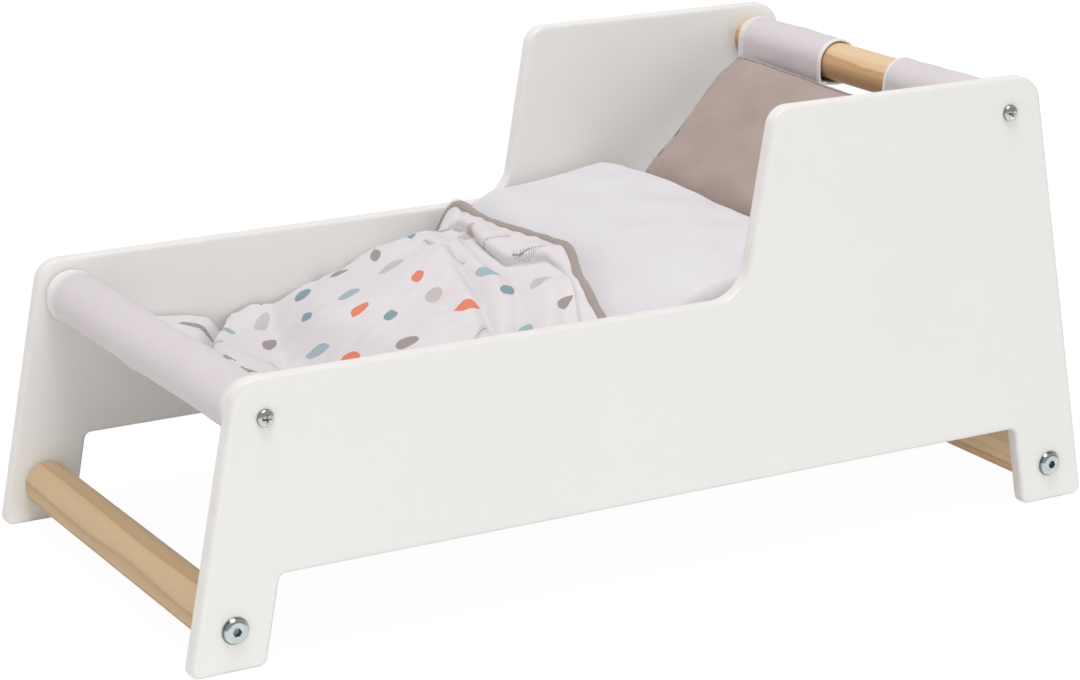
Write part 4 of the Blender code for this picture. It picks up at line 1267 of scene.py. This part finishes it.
def blanketPrint(base, uv):
    # Each cell of a jittered net holds one motif at its own angle, in one of five colours.
    k = blanket
    values = {"Vector": uv, "Scale": k["motifs"], "Randomness": k["spread"]}
    cells = addNode(uv.tree, "ShaderNodeTexVoronoi", values, "Color", voronoi_dimensions="2D")
    fromCentre = {0: uv, 1: cells.outputs()["Position"]}
    u, v, w = addNode(uv.tree, "ShaderNodeVectorMath", fromCentre, operation="SUBTRACT").split()
    pickTurn, pickSize, kind = cells.split()
    angle = pickTurn * (2 * math.pi)
    cosine, sine = angle.math("COSINE"), angle.math("SINE")
    along = u * cosine + v * sine
    across = v * cosine - u * sine + (uv.noise(420, 3) - 0.5) * k["inkWobble"]
    # A petal's half width falls by the square of the way to its tips.
    petalShare = along / pickSize.ramp(0, 1, *k["petalLong"])
    petalHalf = ~(petalShare * petalShare) * pickSize.ramp(0, 1, *k["petalWide"])
    petal = (petalHalf - abs(across)).ramp(-0.0001, 0.0001)
    ovalAcross = across / k["ovalWide"]
    oval = abs(along / k["ovalLong"]) ** 2 + ovalAcross * ovalAcross
    # A sprig is a thin stem with short ticks on both sides.
    tick = ((abs(across) * -0.8 + along) * k["hatchPitch"]).fraction()
    ticks = abs(tick - 0.5).ramp(0.14, 0.09) * abs(across).ramp(0.0026, 0.0024)
    sprig = abs(along).ramp(0.0096, 0.0094) * abs(across).ramp(0.00042, 0.00030).most(ticks)
    # A pod is an oval drawn only with fine rings.
    rings = abs((oval.math("SQRT") * 3.4).fraction() - 0.5).ramp(0.20, 0.12)
    pod = oval.ramp(1.75, 1.65) * (rings * 0.45 + 0.30)
    isOval, isSprig, isPod = (kind > 0.50) * (kind < 0.72), (kind > 0.72) * (kind < 0.86), kind > 0.86
    mask = (kind < 0.50) * petal + isOval * oval.ramp(1.03, 0.97) + isSprig * sprig + isPod * pod
    shuffled = (pickSize * 7.31 + pickTurn * 3.7).fraction()
    colours = addNode(uv.tree, "ShaderNodeValToRGB", {0: shuffled})
    steps = colours.socket.node.color_ramp
    steps.interpolation = "CONSTANT"
    steps.elements.remove(steps.elements[-1])
    steps.elements[0].position, steps.elements[0].color = 0, k["orange"]
    for place, label in ((0.24, "blue"), (0.46, "taupe"), (0.70, "teal"), (0.86, "grey")):
        steps.elements.new(place).color = k[label]
    ink = mix(isSprig.most(isPod), colours, k["taupe"])
    # Petals and ovals are drawn with fine slanting veins that leave a little cloth between them.
    hatch = uv.mapped((1, 3, 1)).noise(900).ramp(0.35, 0.7, 0.90, 1.0)
    slant = ((abs(across) * -1.2 + along) * k["hatchPitch"]).fraction()
    vein = abs(slant - 0.5).ramp(0.08, 0.24, 0.62, 1.0)
    return mix(mask * (hatch * vein), base, ink)


binding = {
    "wide": 0.0026, "thick": 0.0031, "raised": 0.0008, "capRun": 0.0025, "ease": 3.6, "wave": 0.03, "sides": 20,
    "threads": 2300.0,
    "colour": paint(173, 160, 155), "shade": paint(154, 141, 136),
}


def bindingPiece(hem):
    # An oval tube along the head edge: its centre follows the cloth's edge, rounded caps close its ends.
    k = binding
    near = 10
    ease = np.exp(-0.5 * (np.arange(-near, near + 1) / k["ease"]) ** 2)
    ease = ease / ease.sum()
    padded = np.pad(hem, ((near, near), (0, 0)), mode="reflect", reflect_type="odd")
    smooth = np.stack([np.convolve(padded[:, axis], ease, "valid") for axis in range(3)], -1)
    smooth[:, 2] += k["raised"]
    along = np.gradient(smooth, axis=0)
    along /= np.linalg.norm(along, axis=1, keepdims=True)
    out = np.cross(along, (0, 0, 1))
    out /= np.linalg.norm(out, axis=1, keepdims=True)
    up = np.cross(out, along)
    length = alongPath(smooth)
    cap = np.minimum(1, np.minimum(length, length[-1] - length) / k["capRun"])
    size = np.sqrt(1 - (1 - cap) ** 2) * (1 + k["wave"] * ripple(length, 0 * length, 0.014, 41))
    angle = np.arange(k["sides"]) * 2 * np.pi / k["sides"]
    sideways = (size[:, None] * k["wide"] * np.cos(angle))[..., None] * out[:, None]
    upwards = (size[:, None] * k["thick"] * np.sin(angle))[..., None] * up[:, None]
    points = smooth[:, None] + sideways + upwards
    uv = np.stack(np.broadcast_arrays(length[:, None], angle * 0.0028), -1).reshape(-1, 2)
    tape = clothMaterial("binding_tape", k["colour"], k["shade"], k["threads"], depth=0.0002, fuzz=0.2)
    faces = gridFaces(len(smooth), k["sides"], closeColumns=True)
    piece = makePiece("blanket_tape", points.reshape(-1, 3), [faces], tape, body="blanket", uv=uv)
    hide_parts("blanket_binding")
    return piece


blanketCloth, blanketHem, blanketRun = blanketPiece()
tapePiece = bindingPiece(blanketHem)
print("doll bed: blanket made, length", round(blanketRun, 3))
